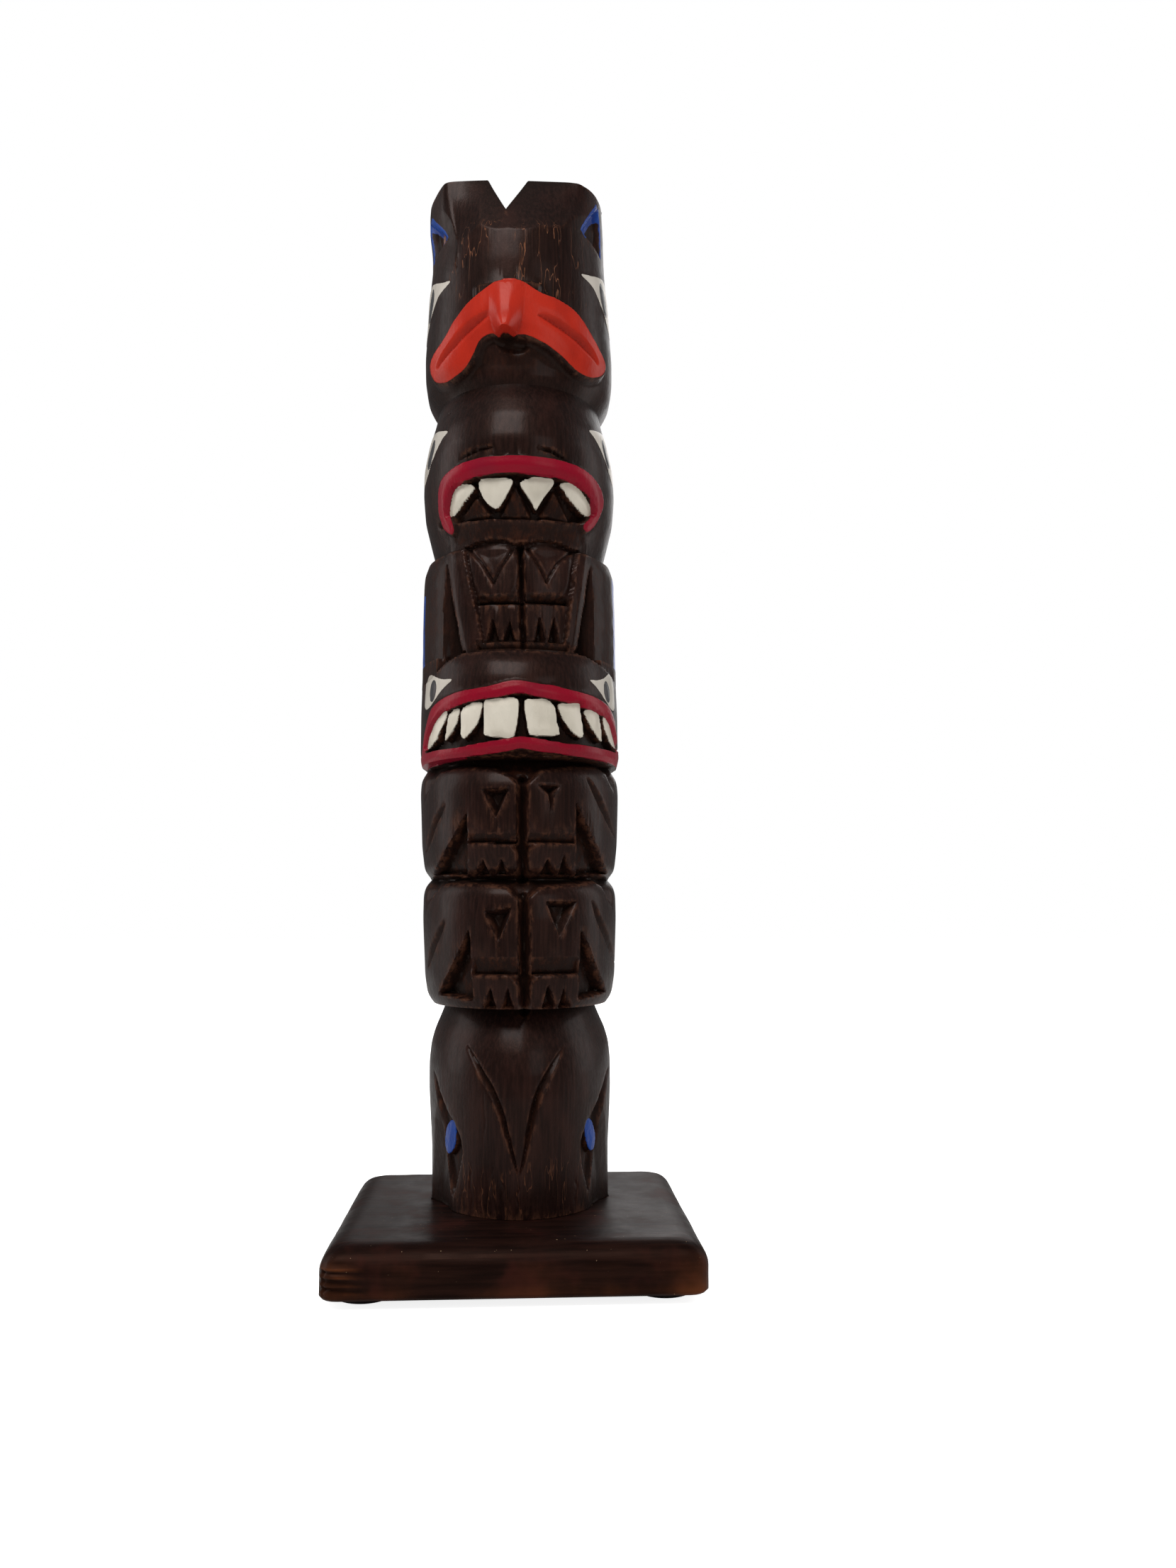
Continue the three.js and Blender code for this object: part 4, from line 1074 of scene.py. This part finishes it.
def foot_material():
    """Turned wooden buttons, stained black and left matt from handling."""
    material, tree = new_material("stained_turned_wood")
    grain = wood_pattern(tree, 1.1, 1.1)
    mottle = wood_pattern(tree, 6, 4, 2)
    share = add(tree, "MapRange", {0: grain, 1: 0.3, 2: 0.7}, **SOFT)
    colour = add(tree, "Mix", {0: share, 6: FOOT["dark"], 7: FOOT["light"]}, **OVER)
    share = add(tree, "MapRange", {0: mottle, 1: 0.55, 2: 0.75, 4: 0.5}, **SOFT)
    colour = add(tree, "Mix", {0: share, 6: colour, 7: FOOT["blotch"]}, **OVER)
    rough = add(tree, "MapRange", {0: mottle, 1: 0.3, 2: 0.7, 3: 0.4, 4: 0.6}, **SOFT)
    height = add(tree, "Math", {0: grain, 1: 0.08}, **TIMES)
    join_finish(tree, colour, rough, height, 0.6, {"IOR": 1.5})
    return material


# ---- Board and feet ------------------------------------------------------------------------
UNDER_EDGE = 0.7 * MM
SLICE, THIN_SLICE = 1.7 * MM, 0.6 * MM
SPLINTERS = {"low": 1.2, "high": 8.4, "first": 2.6, "pitch": 1.9, "reach": 8, "depth": 1.5}


def board_mesh(name, settings):
    """The board as a block sliced fine enough for its rounded edge, dents and broken corner."""
    low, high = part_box("base_board")
    size, centre = high - low, (low + high) / 2
    form = bmesh.new()
    block = Matrix.Translation(centre) @ Matrix.Diagonal((*size, 1))
    bmesh.ops.create_cube(form, size=1.0, matrix=block)
    upright = [e for e in form.edges if abs(e.verts[0].co.z - e.verts[1].co.z) > MM]
    bmesh.ops.bevel(form, geom=upright, offset=settings.corner, segments=5, profile=0.5,
                    affect="EDGES", material=-1)
    shoulder = high.z - settings.edge
    cuts = [[low[axis] + SLICE * k for k in range(1, int(size[axis] / SLICE) + 1)]
            for axis in (0, 1)]
    cuts.append([low.z + UNDER_EDGE, *(low.z + THIN_SLICE * k for k in range(2, 14)),
                 *(shoulder + settings.edge * math.sin(math.pi / 2 * k / 7) for k in range(7))])
    for axis, places in enumerate(cuts):
        normal = Vector([float(axis == i) for i in range(3)])
        for place in places:
            geometry = form.verts[:] + form.edges[:] + form.faces[:]
            bmesh.ops.bisect_plane(form, geom=geometry, plane_co=normal * place, plane_no=normal,
                                   dist=1e-6)
    for vertex in form.verts:
        rise = min(max((vertex.co.z - shoulder) / settings.edge, 0), 1)
        inset = settings.edge * (1 - math.sqrt(1 - rise * rise))
        inset = UNDER_EDGE if vertex.co.z < low.z + 0.01 * MM else inset
        vertex.co.x -= (vertex.co.x - centre.x) * inset / (size.x / 2)
        vertex.co.y -= (vertex.co.y - centre.y) * inset / (size.y / 2)
    bmesh.ops.remove_doubles(form, verts=form.verts, dist=0.02 * MM)
    layer = form.verts.layers.float.new("worn")
    form.normal_update()
    for vertex in form.verts:
        dent_board(vertex, layer, low, high)
    bmesh.ops.triangulate(form, faces=[f for f in form.faces if len(f.verts) > 4])
    bmesh.ops.recalc_face_normals(form, faces=form.faces)
    return finished(form, name)


def dent_board(vertex, layer, low, high):
    """Moves a point in a little for wear, and far in for the splinters of the broken corner."""
    x, y, z = vertex.co / MM
    left, front, right = low.x / MM, low.y / MM, high.x / MM
    height = z - low.z / MM
    wave = noise.noise(Vector((x, y, z)) / 13)
    fine = noise.noise(Vector((x, y, z)) / 3.4)
    inward = 0.14 + 0.14 * wave + 0.05 * fine if height > 0.5 else 0.0
    # Splinters: level ridges that run in from the front corner on the left.
    reach = min(1.0, max(0.0, 1.4 - (x - left) / SPLINTERS["reach"])) if y < front + 4 else 0.0
    splinter = 0.0
    if SPLINTERS["low"] < height < SPLINTERS["high"]:
        turn = (height - SPLINTERS["first"]) * 2 * math.pi / SPLINTERS["pitch"]
        ridge = 0.5 + 0.5 * math.cos(turn)
        inward += (reach * ridge ** 2 * (SPLINTERS["depth"] + 0.6 * fine)
                   * (1 if x > left + 1 else 0.4))
        splinter = reach * (1 - 1.6 * ridge)
    vertex.co -= vertex.normal * inward * MM
    nearest_corner = min(math.hypot(x - side, y - front) for side in (left, right))
    corner = max(0.0, 1 - nearest_corner / 10) * max(0.0, 1 - height / 11)
    along_edge = 0.35 * max(0.0, 1 - abs(height - 1) / 2.4) if y < front + 3 else 0.0
    worn = corner * 1.1 + along_edge * (0.5 + wave) + 0.22 * max(0.0, wave) * (height < 8)
    vertex[layer] = min(1.0, max(0.0, worn + splinter))


FOOT_PROFILE = ((0, 0), (0.86, 0), (0.96, 0.14), (1, 0.42), (0.985, 0.8), (0.93, 1), (0, 1))


def foot_mesh(name, node):
    """A turned button: its profile spun round the foot's own middle line."""
    low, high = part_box(node)
    centre, radius = (low + high) / 2, (high.x - low.x) / 2
    form = bmesh.new()
    profile = [form.verts.new((centre.x + r * radius, centre.y, low.z + h * (high.z - low.z)))
               for r, h in FOOT_PROFILE]
    edges = [form.edges.new(pair) for pair in zip(profile, profile[1:])]
    bmesh.ops.spin(form, geom=profile + edges, cent=(centre.x, centre.y, 0), axis=(0, 0, 1),
                   angle=2 * math.pi, steps=56, use_merge=True)
    bmesh.ops.remove_doubles(form, verts=form.verts, dist=0.01 * MM)
    rims = [e for e in form.edges if e.is_manifold and e.calc_face_angle(0) > math.radians(50)]
    bmesh.ops.bevel(form, geom=rims, offset=0.15 * MM, segments=2, profile=0.5,
                    affect="EDGES", material=-1)
    bmesh.ops.recalc_face_normals(form, faces=form.faces)
    mesh = finished(form, name)
    mesh.shade_smooth()
    return mesh


# ---- Settings ------------------------------------------------------------------------------
def code_property(name, description, default):
    return bpy.props.StringProperty(name=name, description=description, default=default, maxlen=6)


class TotemPoleSettings(bpy.types.PropertyGroup):
    """Sizes and colours of the carved pole."""
    row_spacing: bpy.props.FloatProperty(
        name="Row spacing", description="Height between rows of the skin before it is thinned",
        default=0.42 * MM, min=0.2 * MM, unit="LENGTH", subtype="DISTANCE")
    columns: bpy.props.IntProperty(
        name="Columns", description="Columns across the front before the skin is thinned",
        default=232, min=60)
    triangles: bpy.props.IntProperty(
        name="Triangles", description="Triangles that the finished pole is thinned to",
        default=192000, min=20000, max=199000)
    stain_dark: code_property("Dark stain", "Hex colour of the stain between the grain", "110807")
    stain_light: code_property("Light stain", "Hex colour of the stain along the grain", "221310")
    cut_wood: code_property("Cut wood", "Hex colour of thinly stained wood in the cuts", "34180c")
    worn_edge: code_property("Worn edge", "Hex colour of edges that are rubbed through", "5d3b2b")
    vermilion: code_property("Beak red", "Hex colour of the enamel on the beak", "a8281a")
    crimson: code_property("Lip red", "Hex colour of the enamel on the lips", "800b21")
    ivory: code_property("Tooth white", "Hex colour of the enamel on the teeth", "cdc6b8")
    eye_white: code_property("Eye white", "Hex colour of the enamel round the pupils", "b9b2a8")
    blue: code_property("Blue", "Hex colour of the enamel in the ears and side slits", "0f3d88")


class BaseBoardSettings(bpy.types.PropertyGroup):
    """Sizes of the board under the pole."""
    edge: bpy.props.FloatProperty(
        name="Top edge", description="Radius of the board's rounded top edge",
        default=6.5 * MM, unit="LENGTH", subtype="DISTANCE")
    corner: bpy.props.FloatProperty(
        name="Corner", description="Radius of the board's upright corners",
        default=4.5 * MM, unit="LENGTH", subtype="DISTANCE")


class TotemStageSettings(bpy.types.PropertyGroup):
    """The camera and the light."""
    lens: bpy.props.FloatProperty(
        name="Lens", description="Focal length over a frame 36 mm high", default=27.03,
        unit="CAMERA")
    light: bpy.props.FloatProperty(
        name="Light", description="Power of the main soft light", default=7.4, unit="POWER")
    floor_colour: code_property("Floor", "Hex colour of the floor", "f2f1ef")


# ---- Operators -----------------------------------------------------------------------------
SHARP_ANGLE = math.radians(38)


class CarveTotemPole(bpy.types.Operator):
    """Carve the log, thin its mesh and paint it"""
    bl_idname = "totem.carve_pole"
    bl_label = "Carve Pole"

    def execute(self, context):
        settings = context.scene.totem_pole
        mesh = pole_mesh("carved_pole", settings)
        obj = piece("carved_pole", mesh, pole_material(settings), "pole_wood", "totem_pole")
        thinned(obj, settings.triangles)
        obj.data.shade_smooth()
        obj.data.set_sharp_from_angle(angle=SHARP_ANGLE)
        return {"FINISHED"}


class MakeBaseBoard(bpy.types.Operator):
    """Make the board that the pole stands on"""
    bl_idname = "totem.make_board"
    bl_label = "Make Board"

    def execute(self, context):
        settings = context.scene.totem_board
        mesh = board_mesh("board", settings)
        mesh.shade_smooth()
        piece("board", mesh, board_material(), "board_wood", "base_board")
        return {"FINISHED"}


class MakeButtonFeet(bpy.types.Operator):
    """Turn the four feet under the board"""
    bl_idname = "totem.make_feet"
    bl_label = "Make Feet"

    def execute(self, context):
        material = foot_material()
        for node in sorted(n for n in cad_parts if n.startswith("foot_")):
            name = "button_" + node
            piece(name, foot_mesh(name, node), material, "foot_wood", node)
        return {"FINISHED"}


class SetTotemStage(bpy.types.Operator):
    """Lay the pale floor and set the camera and the soft lights"""
    bl_idname = "totem.set_stage"
    bl_label = "Set Stage"

    def execute(self, context):
        settings = context.scene.totem_stage
        add_floor(settings)
        add_camera(settings)
        add_lights(settings)
        return {"FINISHED"}


FLOOR_SIZE = 6.0                      # in metres
FLOOR_GLOW = 0.84


def add_floor(settings):
    form = bmesh.new()
    bmesh.ops.create_grid(form, x_segments=1, y_segments=1, size=FLOOR_SIZE / 2)
    mesh = finished(form, "floor")
    floor = linked("floor", mesh)
    material, tree = new_material("matt_white_paper")
    # Overlit, as white paper in a light tent is, without throwing that light back at the object.
    seen = add(tree, "LightPath", output="Is Camera Ray")
    glow = add(tree, "Math", {0: seen, 1: FLOOR_GLOW}, **TIMES)
    shader = add(tree, "BsdfPrincipled", {
        "Base Color": linear(settings.floor_colour), "Roughness": 0.9,
        "Emission Color": linear("ffffff"), "Emission Strength": glow})
    add(tree, "OutputMaterial", {"Surface": shader})
    mesh.materials.append(material)


CAMERA = {"place": (0.61 * MM, -331.33 * MM, 95.46 * MM), "yaw": 0.0574, "pitch": 0.1024}


def add_camera(settings):
    data = bpy.data.cameras.new("camera")
    data.sensor_fit, data.sensor_height = "VERTICAL", 36
    data.lens = settings.lens
    data.clip_start = 0.01
    camera = linked("camera", data)
    camera.location = CAMERA["place"]
    camera.rotation_euler = (math.pi / 2 + CAMERA["pitch"], 0, -CAMERA["yaw"])
    bpy.context.scene.camera = camera


# Soft boxes: name, place and aim in metres, size across and up in metres, share of the power.
SOFT_BOXES = (
    ("key", (-0.22, -0.62, 0.95), (0, 0, 0.17), 0.55, 0.45, 1.1),
    ("fill", (0.5, -0.8, 0.45), (0, 0, 0.15), 0.4, 0.5, 0.2),
    ("left", (-0.9, 0.15, 0.4), (0, 0, 0.15), 0.4, 0.8, 0.4),
    ("right", (0.9, 0.2, 0.4), (0, 0, 0.15), 0.4, 0.8, 0.34),
    ("back", (0.2, 0.9, 0.6), (0, 0, 0.15), 0.7, 0.6, 0.45),
)
SKY = {"seen": 1.0, "lighting": 0.18}


def add_lights(settings):
    for name, place, aim, wide, high, share in SOFT_BOXES:
        data = bpy.data.lights.new(name, "AREA")
        data.shape, data.size, data.size_y = "RECTANGLE", wide, high
        data.energy = settings.light * share
        light = linked(name, data)
        light.location = place
        light.rotation_euler = (Vector(aim) - Vector(place)).to_track_quat("-Z", "Y").to_euler()
    world = bpy.data.worlds.new("studio")
    world.use_nodes = True
    tree = world.node_tree
    tree.nodes.clear()
    # The backdrop looks white, and lights the object as a dim room does.
    seen = add(tree, "LightPath", output="Is Camera Ray")
    strength = add(tree, "MapRange", {0: seen, 3: SKY["lighting"], 4: SKY["seen"]}, **SOFT)
    background = add(tree, "Background", {"Color": linear("ffffff"), "Strength": strength})
    add(tree, "OutputWorld", {"Surface": background})
    bpy.context.scene.world = world
    bpy.context.scene.view_settings.view_transform = "Standard"


class TotemPolePanel(bpy.types.Panel):
    """The steps that make the totem pole, in order"""
    bl_idname = "VIEW3D_PT_totem_pole"
    bl_label = "Totem Pole"
    bl_space_type = "VIEW_3D"
    bl_region_type = "UI"
    bl_category = "Totem Pole"

    def draw(self, context):
        for group in SETTINGS:
            settings = getattr(context.scene, group)
            for name in settings.bl_rna.properties.keys():
                if name not in ("rna_type", "name"):
                    self.layout.prop(settings, name)
        for operator in STEPS:
            self.layout.operator(operator.bl_idname)


STEPS = (SetTotemStage, CarveTotemPole, MakeBaseBoard, MakeButtonFeet)
SETTINGS = {"totem_pole": TotemPoleSettings, "totem_board": BaseBoardSettings,
            "totem_stage": TotemStageSettings}


def register():
    for group in (*SETTINGS.values(), *STEPS, TotemPolePanel):
        bpy.utils.register_class(group)
    for name, group in SETTINGS.items():
        setattr(bpy.types.Scene, name, bpy.props.PointerProperty(type=group))


def unregister():
    for name in SETTINGS:
        delattr(bpy.types.Scene, name)
    for group in reversed((*SETTINGS.values(), *STEPS, TotemPolePanel)):
        bpy.utils.unregister_class(group)


def main():
    register()
    bpy.ops.totem.set_stage()
    bpy.ops.totem.carve_pole()
    bpy.ops.totem.make_board()
    bpy.ops.totem.make_feet()
    bpy.context.view_layer.update()


if __name__ == "__main__":
    main()
